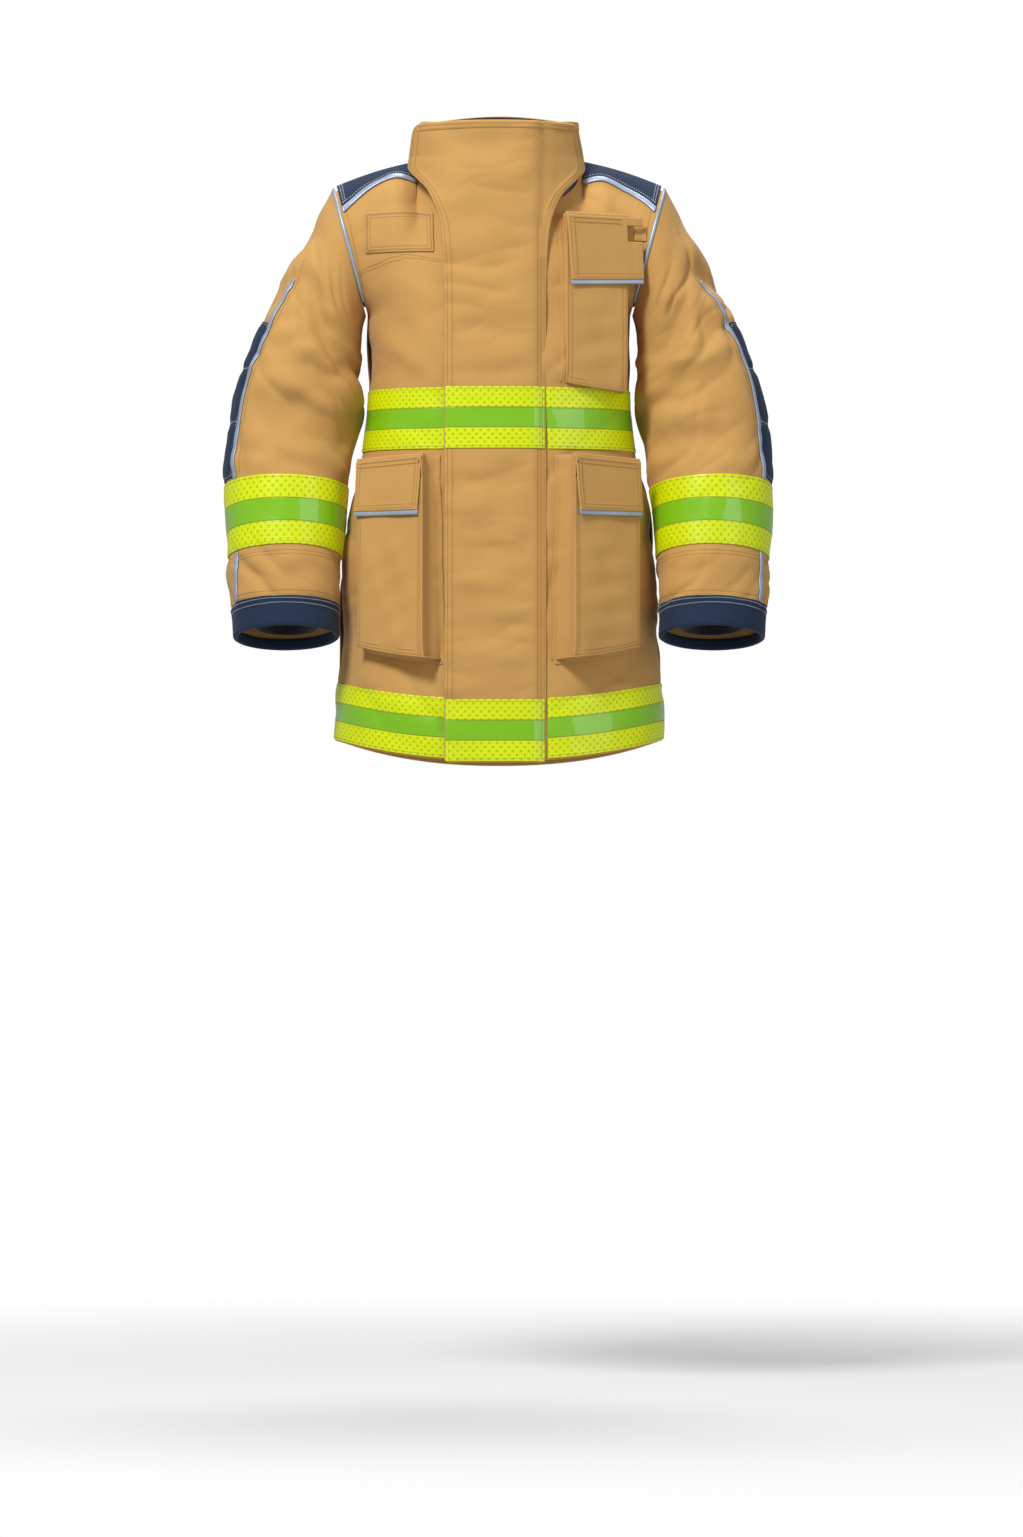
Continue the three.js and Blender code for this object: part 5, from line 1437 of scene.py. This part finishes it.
def pipeSleeve(side, word, arm):
    turns, layer = steps(*sleevePiping["turns"], 4), sleevePiping["layer"]
    strip = clothPiece(word + "SleevePiping", arm, turns, steps(*sleevePiping["upper"], 110), *layer)
    bendElbow(strip, side, greyTape, "reflective_piping", word + "_sleeve_piping")
    sew(word + "SleeveThread", arm, [0.1135, 0.1135], [1.6, 6.5], offset=0.1)
    sew(word + "SleeveThread", arm, [0.478, 0.478], [0.3, 6.5], offset=0.1)
    lower = clothPiece(word + "LowerPiping", arm, turns, steps(*sleevePiping["lower"], 30), *layer)
    ride(lower, word + "_forearm", greyTape, "reflective_piping")


def sleeveBand(word, arm):
    bandEnd = bandAt + coat["bandWidth"] * perMillimetre
    around, rows = steps(0, 1, sleeve["columns"])[:-1], edged(steps(bandAt, bandEnd, 20), 0.012)
    u, v = np.meshgrid(around, rows, indexing="ij")
    points, normals = arm.at(u, v), arm.normal(u, v)
    band = sheetPiece(word + "SleeveBand", points, normals, *bandLayer, loop=True, uv=bandUv(points, True))
    ride(band, word + "_forearm", limeTape, "reflective_band", word + "_sleeve_band")
    for share in bandRows:
        sewRound(word + "BandThread", arm, mix(bandAt, bandEnd, share), bandLayer[1])
    for station in (8.26, 8.34, 9.17):
        sewRound(word + "ForearmThread", arm, station)


def bindCuff(side, word, arm):
    # a folded strip: up the outside, round the edge, up the inside and back between the two
    height = cuff["height"]
    section = [(-height, 0.6), (-height, 1.6), (-height + 1, 2.1)]
    section += [(past, 2.1) for past in np.linspace(-height + 4, -1, 9)]
    section += [(0.8, 1.7), (1.8, 0.3), (2.0, -1.6), (1.7, -3.2), (0.6, -3.8)]
    section += [(past, -3.8) for past in (-4, -8)]
    section += [(-12, -3.6), (-12, -2.4), (-6, -2.4), (0.2, -2.3), (0.2, 0.6), (-10, 0.6), (-22, 0.6)]
    piece = hoopPiece(word + "CuffBinding", side, section)
    ride(piece, word + "_forearm", navyCloth, "navy_cloth", word + "_cuff_binding")
    for past in cuff["rows"]:
        sewRound(word + "CuffThread", arm, sleeve["last"] + past * perMillimetre, 2.15)


def knitWristlet(word, arm):
    # ribbed, and narrower towards the hand
    start, end = wristlet["start"], wristlet["end"]
    u, v = np.meshgrid(steps(0, 1, 248)[:-1], steps(start, end, 46), indexing="ij")
    share = (v - start) / (end - start)
    narrow = mix(-6.3, wristlet["narrowTo"], smooth(share)) + 0.7 * np.sin(share * 21) * smooth(share * 4)
    low, high = narrow - wristlet["thickness"], narrow + 0.55 * np.cos(u * 2 * math.pi * wristlet["ribs"])
    piece = sheetPiece(word + "Wristlet", arm.at(u, v), arm.normal(u, v), low, high, loop=True)
    ride(piece, word + "_forearm", knitCloth, "knit", word + "_wristlet")


for side, word in words.items():
    arm = sleeves[side]
    circle = steps(0, 1, sleeve["columns"])
    tube = clothPiece(word + "Sleeve", arm, circle, edged(steps(0, sleeve["last"], 184), 0.03), *shellLayer)
    parts = [word + "_upper_sleeve", word + "_elbow_section", word + "_forearm_sleeve"]
    bendElbow(tube, side, tanCloth, "shell_cloth", *parts)
    inside = clothPiece(word + "SleeveLiner", linings[side], circle, steps(0.22, 8.4, 140), -6.4, -3.2)
    bendElbow(inside, side, linerCloth, "liner_cloth", word + "_sleeve_liner")
    elbowPad(side, word, arm)
    pipeSleeve(side, word, arm)
    sleeveBand(word, arm)
    bindCuff(side, word, arm)
    knitWristlet(word, arm)
print("sleeves made")


def tubePiece(name, line, normals, wide, tall, sides=8):
    # a cord along a line, wide across it and tall along the normals, closed at both ends
    ahead = unit(np.gradient(line, axis=0))
    aside = unit(np.cross(ahead, normals))
    turns = np.arange(sides) * 2 * math.pi / sides
    size = np.ones(len(line))
    size[[0, -1]] = 0.5
    corners = [aside * math.cos(turn) * wide + normals * math.sin(turn) * tall for turn in turns]
    points = np.stack([line + corner * size[:, None] for corner in corners], axis=1)
    i, k = (m.ravel() for m in np.meshgrid(np.arange(len(line) - 1), np.arange(sides), indexing="ij"))
    after = (k + 1) % sides
    quads = np.stack([i * sides + k, i * sides + after, (i + 1) * sides + after, (i + 1) * sides + k], 1)
    last = (len(line) - 1) * sides
    half = sides // 2
    caps = [[m, (sides - 1 - m), (sides - 2 - m), m + 1] for m in range(half - 1)]
    caps += [[last + k for k in quad[::-1]] for quad in caps]
    quads = np.concatenate([quads, np.array(caps)])
    flat = points.reshape(-1, 3)
    a, b = flat[quads[0, 2]] - flat[quads[0, 0]], flat[quads[0, 3]] - flat[quads[0, 1]]
    if np.dot(np.cross(a, b), flat[quads[0, 0]] - line[0]) < 0:
        quads = quads[:, ::-1]
    along = distances(line) * 0.001
    uvs = np.stack([along[np.minimum(quads // sides, len(line) - 1)], (quads % sides) * 0.0006], axis=-1)
    return meshFrom(name, flat, quads, uvs)


# reflective piping in the armhole seam, and its row of stitches on the body side
armholePiping = {"wide": 2.4, "tall": 1.7, "lift": 1.3}
for side, word in words.items():
    turns = steps(-0.4, 0.4, 150)
    rise = (1 + np.cos(turns * 2 * math.pi)) / 2
    up = mix(coat["chestLine"], 0.997, rise)
    full = np.full(turns.shape, 0.988)
    onFront = fronts[side].at(full, up)
    onBack = back.at(full * side, up)
    panelSide = np.where((turns > 0)[:, None], onFront, onBack)
    sleeveSide = sleeves[side].at(turns, np.full(turns.shape, 0.04))
    normal = unit(sleeves[side].normal(turns, np.full(turns.shape, 0.15)))
    line = (panelSide + sleeveSide) / 2 + normal * armholePiping["lift"]
    for _ in range(6):
        line[1:-1] = (line[:-2] + 2 * line[1:-1] + line[2:]) / 4
    piece = tubePiece(word + "ArmholePiping", line, normal, armholePiping["wide"], armholePiping["tall"])
    ride(piece, "coat", greyTape, "reflective_piping", word + "_armhole_piping")
    top = (turns > 0.02) & (turns < 0.36)
    sew("coatThread", fronts[side], np.full(top.sum(), 0.955), up[top] - 0.004, offset=0.15)
    sew("coatThread", back, np.full(top.sum(), 0.955) * side, up[top] - 0.004, offset=0.15)
print("piping made")

# the front's depth at any distance from the centre and height, for fitting pockets to it
skinX, skinZ = steps(20, 204, 46), steps(-740, -45, 150)
gridX, gridZ = np.meshgrid(skinX, skinZ, indexing="ij")
skinPlace = placeOnFront(gridX, gridZ)
skinPoints = {side: fronts[side].at(*skinPlace) for side in words}


def skinY(side, x, z):
    x = np.minimum(np.abs(x), halfWidthAt(seamShare(z)) * 0.975)
    points = skinPoints[side][..., 1]
    i = np.clip(np.searchsorted(skinX, x) - 1, 0, len(skinX) - 2)
    j = np.clip(np.searchsorted(skinZ, z) - 1, 0, len(skinZ) - 2)
    a = clamp((x - skinX[i]) / (skinX[1] - skinX[0]))
    b = clamp((z - skinZ[j]) / (skinZ[1] - skinZ[0]))
    return mix(mix(points[i, j], points[i + 1, j], a), mix(points[i, j + 1], points[i + 1, j + 1], a), b)


cargo = {
    "width": 104, "height": 250, "outerX": 176, "turn": 38, "slant": 1.0, "leanFrom": 0.0, "depth": 13,
    "skew": 20, "mouth": 26, "flapLength": 66, "overhang": 0, "pleat": 5.5, "bulge": 3.2, "top": -370,
}
radio = {
    "width": 84, "height": 208, "outerX": 164, "turn": 24, "slant": 0.5, "leanFrom": 0.25, "depth": 7,
    "skew": -9, "mouth": 30, "flapLength": 80, "overhang": 19, "pleat": 2.0, "bulge": 1.6, "top": -68,
    "notchWidth": 21, "notchTop": 9.0, "notchFoot": 31.0,
}


pocketLayer = (-1.7, 0.0)


def pocketFrame(spec, innerX):
    # origin at the top inner corner; u towards the side, v downwards, n away from the coat
    def skin(i, j):
        x, z = innerX + i * (spec["outerX"] - innerX), spec["top"] - j * spec["height"]
        return panelPoint(-1, *placeOnFront(x, z))

    down = unit(skin(0.4, 1) - skin(0.4, spec["leanFrom"]))
    turn = math.radians(spec["turn"])
    across = np.array([math.cos(turn), math.sin(turn), 0])
    across = unit(across - down * across.dot(down))
    normal = unit(np.cross(across, down))
    normal = -normal if normal[1] > 0 else normal
    origin = skin(0, 0)
    i, j = np.meshgrid(steps(0, 1, 6), steps(0, 1, 8), indexing="ij")
    proud = np.max((skin(i, j) - origin) @ normal)
    origin = origin + normal * (proud + spec["depth"])
    origin = origin + across * ((innerX - origin[0]) / across[0])
    return origin, across, down, normal


def onPocket(place, side, u, v, n):
    origin, across, down, normal = place
    u, v, n = (np.asarray(k)[..., None] for k in (u, v, n))
    return (origin + across * u + down * v + normal * n) * (side, 1, 1)


def gridNormals(points, towards):
    du, dv = np.gradient(points, axis=0), np.gradient(points, axis=1)
    normals = unit(np.cross(du, dv))
    return normals if np.sum(normals * towards) > 0 else -normals


def flangeFrom(line, side):
    # an edge that is sewn flat on the coat
    line[:, 1] = skinY(side, line[:, 0], line[:, 2]) - 1.6
    return line


def keepStitches(group, line, normal):
    stitching.setdefault(group, []).append((line, np.broadcast_to(normal, line.shape)))


def pouch(name, spec, place, side, nodes):
    # the face, both side walls with their pleats and a flange are one cloth; the bottom wall is another
    origin, across, down, normal = place
    backwards = -unit(mix(np.array([0, -1.0, 0]), normal, spec["slant"]))
    width, height = spec["width"], spec["height"]
    wallSteps, faceSteps = 9, 34
    mouth = spec["mouth"]
    rows = np.unique(np.concatenate([steps(-4, mouth, 5), [mouth + 1], steps(mouth, height, 56)]))
    faceU = edged(steps(0, width, faceSteps), 1.2)
    count = len(faceU)

    def footDepth(u, v):
        # how far back a wall goes before it meets the coat
        p = origin + across * np.asarray(u)[..., None] + down * np.asarray(v)[..., None]
        depth = np.full(np.asarray(v).shape, 4.0)
        for _ in range(60):
            q = p + backwards * depth[..., None]
            outside = q[..., 1] < skinY(side, q[..., 0], q[..., 2]) - 0.6
            depth = np.where(outside & (depth < 60), depth + 1.0, depth)
        return depth

    share = (faceU / width)[:, None]
    v = rows[None, :] - share * spec["skew"] * smooth((rows[None, :] - 60) / (height - 60))
    v = v + np.sin(math.pi * share) * 1.6 * smooth((v - height + 60) / 60)
    u = faceU[:, None] * np.ones_like(v)
    lower = smooth((v - spec["flapLength"] - 4) / 50)
    downward = np.sin(math.pi * clamp((height + 8 - v) / (height + 8)) ** 0.5)
    puff = spec["bulge"] * np.sin(math.pi * clamp(share)) ** 0.6 * lower * downward
    wrinkle = swell(u, v, 46, 0.9, 61 + side) * lower
    atSides = smooth((0.16 - share) / 0.16) + smooth((share - 0.84) / 0.16)
    corner = -2.2 * smooth((v - height + 26) / 26) * atSides
    face = onPocket(place, 1, u, v, puff + wrinkle * np.sin(math.pi * share) + corner)

    def wall(edgeColumn, u, inward):
        edge = face[edgeColumn]
        depth = footDepth(np.full(edge.shape[0], float(u)), v[edgeColumn])
        lines = []
        for k in range(1, wallSteps + 1):
            part = k / wallSteps
            pleat = spec["pleat"] * math.sin(math.pi * part) ** 1.5 * inward
            lines.append(edge + backwards * (depth * part)[:, None] + across * pleat)
        return lines + [flangeFrom(lines[-1] - across * inward * 5.0, side)]

    left, right = wall(0, 0, 1), wall(-1, width, -1)
    points = np.stack(left[::-1] + list(face) + right, axis=0)
    keep = np.ones((points.shape[0] - 1, points.shape[1] - 1), bool)
    faceStart = len(left)
    openRows = rows[1:] <= mouth + 0.01
    keep[faceStart:faceStart + count - 1, openRows] = False
    flip = np.array((side, 1, 1))
    points = points * flip
    piece = sheetPiece(name, points, gridNormals(points, normal * flip), *pocketLayer, keep=keep)
    ride(piece, "coat", tanCloth, "shell_cloth", *nodes)
    flat = ((width + 70) * 0.001, height * 0.001)
    # bottom wall with its own flange
    edge = face[:, -1]
    depth = footDepth(faceU, v[:, -1])
    lines = [edge + backwards * (depth * k / wallSteps)[:, None] for k in range(wallSteps + 1)]
    bottom = np.stack(lines + [flangeFrom(lines[-1] + down * 5.0, side)], axis=1) * flip
    piece = sheetPiece(name + "Bottom", bottom, gridNormals(bottom, down * flip), *pocketLayer)
    ride(piece, "coat", tanCloth, "shell_cloth")
    measured = 0.5 * sum(polygon.area for polygon in piece.data.polygons)
    flat = (width * 0.0011, 0.09)
    max(measured, 0.35 * flat[0] * flat[1])
    # a header strip above the mouth
    us, vs = steps(0, width, 24), np.array([-5.0, -3.5, -1.0, 1.5])
    u, w = np.meshgrid(us, vs, indexing="ij")
    header = onPocket(place, side, u, w, np.where(w < -4, -1.2, 0.0))
    piece = sheetPiece(name + "Header", header, gridNormals(header, normal * flip), *pocketLayer)
    ride(piece, "coat", tanCloth, "shell_cloth")
    below = rows > mouth + 3
    for inset in (2.6, 7.0):
        for column in (inset, width - inset):
            line = face[np.argmin(np.abs(faceU - column))][below] + normal * 0.1
            keepStitches("coatThread", line * flip, normal * flip)
        line = face[:, -1] - down * inset + normal * 0.15
        keepStitches("coatThread", line * flip, normal * flip)


def flapGrid(spec, place, side, us, vs):
    # a pocket flap: us runs 0 to 1 across and vs is millimetres from the hinge
    reach = spec["width"] + spec["overhang"]
    u, v = np.meshgrid(us, vs, indexing="ij")
    share = clamp(v / spec["flapLength"])
    low, high = mix(1, 6, share), mix(reach - 1, reach + 1, share)
    lower = v - share * u * 5 * np.minimum(v / spec["flapLength"], 1)
    wave = 0.8 * np.sin(u * 7.5 + 1.0 + side) * share ** 2
    crown = 1.2 * np.sin(math.pi * u) * np.sin(math.pi * clamp(share * 0.9))
    lift = 1.7 * share ** 2 + wave + crown
    return onPocket(place, side, mix(low, high, u), lower, 1.35 + lift)


def notched(spec, us, vs):
    # the flap's places with the notch's corners among them, and which cells are cloth
    notchAt = 1 - spec["notchWidth"] / (spec["width"] + spec["overhang"])
    us = np.unique(np.concatenate([us, [notchAt, notchAt - 0.01]]))
    vs = np.unique(np.concatenate([vs, [spec["notchTop"], spec["notchFoot"]]]))
    cut = (vs[:-1] >= spec["notchTop"] - 1e-6) & (vs[:-1] < spec["notchFoot"] - 1e-6)
    return us, vs, ~((us[:-1, None] >= notchAt - 1e-6) & cut[None, :])


def pocketFlap(name, spec, place, side, rides, nodes, group):
    width, length = spec["width"], spec["flapLength"]
    normal = place[3] * (side, 1, 1)
    us, vs = edged(steps(0, 1, 48), 0.006), edged(steps(0, length, 36), 0.6)
    columns, rows, keep = notched(spec, us, vs) if "notchWidth" in spec else (us, vs, None)
    points = flapGrid(spec, place, side, columns, rows)
    u, v = columns[:, None], rows[None, :]
    hem = np.minimum(u * width, np.minimum((1 - u) * width, length - v))
    high = 0.8 + 0.5 * (1 - smooth((hem - 7.5) / 1.5))
    piece = sheetPiece(name, points, gridNormals(points, normal), -0.8, high, keep=keep)
    ride(piece, rides, tanCloth, "shell_cloth", nodes[0])
    strip = flapGrid(spec, place, side, us, length + np.array([-3, 0, 2.5, 5, 6.0]))
    strip -= normal * np.array([1.3, 1.1, 0.3, 0.2, 0.5])[None, :, None]
    piece = sheetPiece(name + "Piping", strip, gridNormals(strip, normal), -0.9, 0.7)
    ride(piece, rides, greyTape, "reflective_piping", nodes[1])

    def run(us, vs):
        spots = [flapGrid(spec, place, side, np.array([a]), np.array([b]))[0, 0] for a, b in zip(us, vs)]
        keepStitches(group, np.array(spots) + normal * 1.35, normal)

    for inset in (2.4, 7.0):
        run(steps(0.04, 0.97, 30), np.full(31, length - inset))
        run(np.full(13, inset / width), steps(3, length - 4, 12))
        if keep is None:
            run(np.full(13, 1 - inset / width), steps(3, length - 4, 12))
    hingeEnd = 0.97 if keep is None else 0.72
    for inset in (2.5, 8.0):
        run(steps(0.03, hingeEnd, 24), np.full(25, inset))


for side, word in words.items():
    place = pocketFrame(cargo, 94 if side > 0 else 95)
    pouch(word + "CargoPocket", cargo, place, side, [word + "_cargo_pocket"])
    nodes = [word + "_cargo_flap", word + "_cargo_flap_piping"]
    pocketFlap(word + "CargoFlap", cargo, place, side, word + "_pocket_flap", nodes, word + "CargoFlapThread")
    # bar tacks beside the flap's hinge
    for k in range(5):
        line = onPocket(place, side, np.linspace(1, 6, 6), np.full(6, 5.0 + k * 0.7), np.full(6, 2.9))
        keepStitches(word + "CargoFlapThread", line, place[3] * (side, 1, 1))
radioPlace = pocketFrame(radio, 84)
pouch("radioPocket", radio, radioPlace, 1, ["radio_pocket"])
nodes = ["radio_pocket_flap", "radio_flap_piping"]
pocketFlap("radioFlap", radio, radioPlace, 1, "radio_flap", nodes, "radioFlapThread")
print("pockets made")


def frontPatch(name, spec, side):
    # a small sheet laid on the front, rectangular as seen from the front
    columns, rows = spec["cells"]
    us = edged(steps(-spec["width"] / 2, spec["width"] / 2, columns), 0.5)
    vs = edged(steps(-spec["height"] / 2, spec["height"] / 2, rows), 0.5)
    u, v = np.meshgrid(us, vs, indexing="ij")
    across, up = placeOnFront(spec["x"] + u, spec["z"] + v)
    return sheetPiece(name, fronts[side].at(across, up), fronts[side].normal(across, up), *spec["layer"])


# the plain name field, laid flat on the chest with a stitched border
patch = {"x": 124, "z": -86, "width": 84, "height": 48, "layer": (0.4, 2.2), "cells": (36, 24)}
piece = frontPatch("nameField", patch, -1)
ride(piece, "coat", tanCloth, "shell_cloth", "name_patch")
for inset in (1.8, 3.0, 6.4):
    w, h = patch["width"] / 2 - inset, patch["height"] / 2 - inset
    loop = [(-w, -h), (w, -h), (w, h), (-w, h), (-w, -h)]
    for (ax, ay), (bx, by) in zip(loop, loop[1:]):
        spots = placeOnFront(patch["x"] + steps(ax, bx, 24), patch["z"] + steps(ay, by, 24))
        sew("borderThread", fronts[-1], *spots, offset=patch["layer"][1])

# the microphone tab beside the radio pocket's flap
tab = {"x": 176, "z": -90, "width": 15, "height": 11, "layer": (0.5, 2.4), "cells": (8, 6)}
piece = frontPatch("microphoneTab", tab, 1)
ride(piece, "coat", tanCloth, "shell_cloth", "microphone_tab")
for height in (-3.2, 3.2):
    spots = placeOnFront(tab["x"] + steps(-5.5, 5.5, 7), np.full(8, tab["z"] + height))
    sew("coatThread", fronts[1], *spots, offset=tab["layer"][1])

# zip: cloth tapes, moulded teeth, box, slider and pull
zipper = {"top": -66, "bottom": -722, "pitch": 3.0, "tooth": (2.9, 2.4, 1.6), "toothAside": 2.1}
for side, word in words.items():
    rows = placeOnFront(np.full(2, 24.0), np.array([zipper["bottom"], zipper["top"]]))[1]
    strip = clothPiece(word + "ZipTape", fronts[side], steps(0.003, 0.13, 12), steps(*rows, 160), -3.6, -2.4)
    ride(strip, "coat", zipCloth, "zip_tape", word + "_zip_tape")
zipLow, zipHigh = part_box("zip_box")[1].z * 1000, zipper["top"] - 10
slope = coat["frontSlope"]
zipDown = unit(np.array([0, -slope, -1]))
zipOut = unit(np.array([0, -1, slope]))


def onZip(x, z, n):
    return spot(x, -frontDepthAt(np.asarray(z, float)), z) + zipOut * np.asarray(n)[..., None]


def tooth(name):
    # one tooth, a block with rounded edges, which is then repeated down the tape
    bpy.ops.object.select_all(action="DESELECT")
    bpy.ops.mesh.primitive_cube_add(size=0.001, location=(0, 0, 0))
    made = bpy.context.object
    made.name = name
    made.scale = zipper["tooth"]
    bpy.ops.object.transform_apply(location=False, rotation=False, scale=True)
    bevel = made.modifiers.new("round", "BEVEL")
    bevel.width, bevel.segments = 0.0004, 2
    bpy.ops.object.modifier_apply(modifier=bevel.name)
    return made


for side, word in words.items():
    one = tooth(word + "ZipTeeth")
    co = np.array([v.co for v in one.data.vertices]) * 1000
    faces = [tuple(p.vertices) for p in one.data.polygons]
    number = int((zipHigh - zipLow) / zipper["pitch"])
    levels = zipLow + (np.arange(number) + (0.5 if side > 0 else 0.0)) * zipper["pitch"]
    centres = onZip(np.full(number, zipper["toothAside"] * side), levels, np.full(number, -0.4))
    places = centres[:, None, :] + co[None] @ np.array([[1, 0, 0], -zipOut, -zipDown])
    mesh = bpy.data.meshes.new(word + "ZipTeeth")
    points = places.reshape(-1, 3) * 0.001
    polygons = [tuple(k + n * len(co) for k in face) for n in range(number) for face in faces]
    mesh.from_pydata([tuple(p) for p in points], [], polygons)
    one.data = mesh
    ride(one, "coat", zipPlastic, "zip_plastic", word + "_zip_chain")
zipParts = {
    # piece, body, finish and slot
    "zip_box": ("zipBox", "coat", zipPlastic, "zip_plastic"),
    "zip_slider": ("zipSlider", "zip_slider", zipMetal, "zip_metal"),
    "zip_pull": ("zipPull", "zip_slider", zipPlastic, "zip_plastic"),
}
for node, (name, rides, finish, slotName) in zipParts.items():
    shown = frame["nodes"][node]
    copy = shown.copy()
    copy.data = shown.data.copy()
    copy.parent = None
    copy.name = name
    for key in list(copy.keys()):
        if key.startswith("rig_"):
            del copy[key]
    bpy.context.scene.collection.objects.link(copy)
    bpy.ops.object.select_all(action="DESELECT")
    bpy.context.view_layer.objects.active = copy
    copy.select_set(True)
    bpy.ops.object.mode_set(mode="EDIT")
    bpy.ops.mesh.select_all(action="SELECT")
    bpy.ops.mesh.remove_doubles(threshold=0.00001)
    bpy.ops.mesh.tris_convert_to_quads()
    bpy.ops.object.mode_set(mode="OBJECT")
    bevel = copy.modifiers.new("round", "BEVEL")
    bevel.width, bevel.segments, bevel.limit_method = 0.0003, 2, "ANGLE"
    bpy.ops.object.modifier_apply(modifier=bevel.name)
    bpy.ops.object.shade_smooth_by_angle(angle=0.6)
    ride(copy, rides, finish, slotName, node)
print("zip made")

# hook tape inside the flap, loop tape on the coat
closure = {
    "outer": -58,
    "inner": -32,
    "low": -684,
    "high": -125,
    "hooks": (-3.8, -2.6),    # layers off the flap's and the coat's surface
    "loops": (1.9, 3.1),
}
xs = edged(steps(closure["outer"], closure["inner"], 14), 0.6)
zs = edged(steps(closure["low"], closure["high"], 180), 0.6)
u, v = np.meshgrid(xs, zs, indexing="ij")
strip = sheetPiece("hookTape", flapCloth.at(u, v), flapCloth.normal(u, v), *closure["hooks"])
ride(strip, "storm_flap", hookTape, "hook_and_loop", "hook_tape")
across, up = placeOnFront(-u, v)
points, normals = fronts[-1].at(across, up), fronts[-1].normal(across, up)
strip = sheetPiece("loopTape", points, normals, *closure["loops"])
ride(strip, "coat", hookTape, "hook_and_loop", "loop_tape")

# hanger loop inside the back of the neck, a folded strap sewn down at both ends
strapHalf = {"wide": 3.4, "thick": 0.9}
low, high = (np.array(corner) * 1000 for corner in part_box("hanger_loop"))
t = steps(0, 1, 60)
x = mix(low[0] + 3.5, high[0] - 3.5, t)
drop = np.sin(math.pi * t) ** 0.5
z = high[2] - 2 - drop * (high[2] - low[2] - 7)
y = np.full(t.shape, high[1] - 2.2)
facing = spot(np.zeros(t.shape), -1.0, 0)
strap = tubePiece("hangerLoop", spot(x, y, z), facing, strapHalf["wide"], strapHalf["thick"])
ride(strap, "coat", navyCloth, "navy_cloth", "hanger_loop")

# thread, one piece for each group of seams
groups = {
    # body, or side for thread that crosses the elbow; finish
    "coatThread": ("coat", darkThread),
    "flapThread": ("storm_flap", darkThread),
    "borderThread": ("coat", blackThread),
    "yokeThread": ("coat", paleThread),
    "bandThread": ("coat", tanThread),
    "flapBandThread": ("storm_flap", tanThread),
    "radioFlapThread": ("radio_flap", darkThread),
}
for side, word in words.items():
    groups[word + "CargoFlapThread"] = (word + "_pocket_flap", darkThread)
    groups[word + "BandThread"] = (word + "_forearm", tanThread)
    groups[word + "ForearmThread"] = (word + "_forearm", darkThread)
    groups[word + "CuffThread"] = (word + "_forearm", paleThread)
    groups[word + "PadThread"] = (side, paleThread)
    groups[word + "SleeveThread"] = (side, darkThread)
for group, (place, finish) in groups.items():
    thread = threads(group, stitching[group])
    if isinstance(place, int):
        bendElbow(thread, place, finish, "shell_cloth")
    else:
        ride(thread, place, finish, "shell_cloth")
print("threads made")

# floor, lights and camera
stageSizes = {
    "floor": -1.548,
    "floorFade": (0.5, 1.9),    # metres from the middle over which the floor fades into the white studio
    "distance": 9.0,
    "lens": 167.6,
    "side": 0.0156,
    "height": -0.754,
    "surroundings": 0.34,       # how much light the white studio itself gives
}
bpy.ops.object.select_all(action="DESELECT")
bpy.ops.mesh.primitive_plane_add(size=30, location=(0, 0, stageSizes["floor"]))
floor = bpy.context.object
floor.name = "floor"
floorFinish = Finish("paleFloor", Roughness=0.9, Specular_IOR_Level=0.1)
floorPlace = floorFinish.place()
fromMiddle = floorFinish.node("ShaderNodeVectorMath", {"operation": "LENGTH"}, {0: floorPlace}, "Value")
floorTone = floorFinish.noise(floorPlace, 3)
floorFinish.set("Base_Color", floorFinish.blend(floorTone, (0.83,) * 3, (0.85,) * 3))
floorFinish.set("Alpha", 1 - fromMiddle.between(*stageSizes["floorFade"]))
floor.data.materials.append(floorFinish.material)
world = bpy.data.worlds.new("studio")
bpy.context.scene.world = world
world.use_nodes = True
# the studio is white to look at, and lights the coat less than its lamps do
studio = world.node_tree.nodes["Background"]
studio.inputs["Color"].default_value = (1.0, 1.0, 1.0, 1.0)
seen = world.node_tree.nodes.new("ShaderNodeLightPath")
strength = world.node_tree.nodes.new("ShaderNodeMapRange")
strength.inputs["To Min"].default_value = stageSizes["surroundings"]
strength.inputs["To Max"].default_value = 1.0
world.node_tree.links.new(seen.outputs["Is Camera Ray"], strength.inputs["Value"])
world.node_tree.links.new(strength.outputs["Result"], studio.inputs["Strength"])
bpy.context.scene.view_settings.view_transform = "Standard"


def softLight(name, place, target, size, power):
    lamp = bpy.data.lights.new(name, "AREA")
    lamp.shape, lamp.size, lamp.size_y, lamp.energy = "RECTANGLE", size[0], size[1], power
    holder = bpy.data.objects.new(name, lamp)
    bpy.context.scene.collection.objects.link(holder)
    holder.location = place
    away = np.array(place) - np.array(target)
    pitch = math.atan2(math.hypot(away[0], away[1]), away[2])
    holder.rotation_euler = (pitch, 0, math.atan2(away[1], away[0]) + math.pi / 2)


lamps = {
    # place, target, size and power
    "keyLight": ((-1.5, -2.7, 2.6), (0, 0, -0.35), (0.9, 0.9), 158),
    "fillLight": ((2.6, -2.6, 0.2), (0, 0, -0.4), (1.8, 2.2), 22),
    "topLight": ((0.3, 0.9, 2.4), (0, 0, -0.3), (1.6, 1.2), 40),
}
for name, values in lamps.items():
    softLight(name, *values)
eye = bpy.data.cameras.new("camera")
eye.lens, eye.sensor_width, eye.sensor_fit = stageSizes["lens"], 36, "AUTO"
camera = bpy.data.objects.new("camera", eye)
bpy.context.scene.collection.objects.link(camera)
camera.location = (stageSizes["side"], -stageSizes["distance"], stageSizes["height"])
camera.rotation_euler = (math.pi / 2, 0, 0)
bpy.context.scene.camera = camera

print("scene ready")
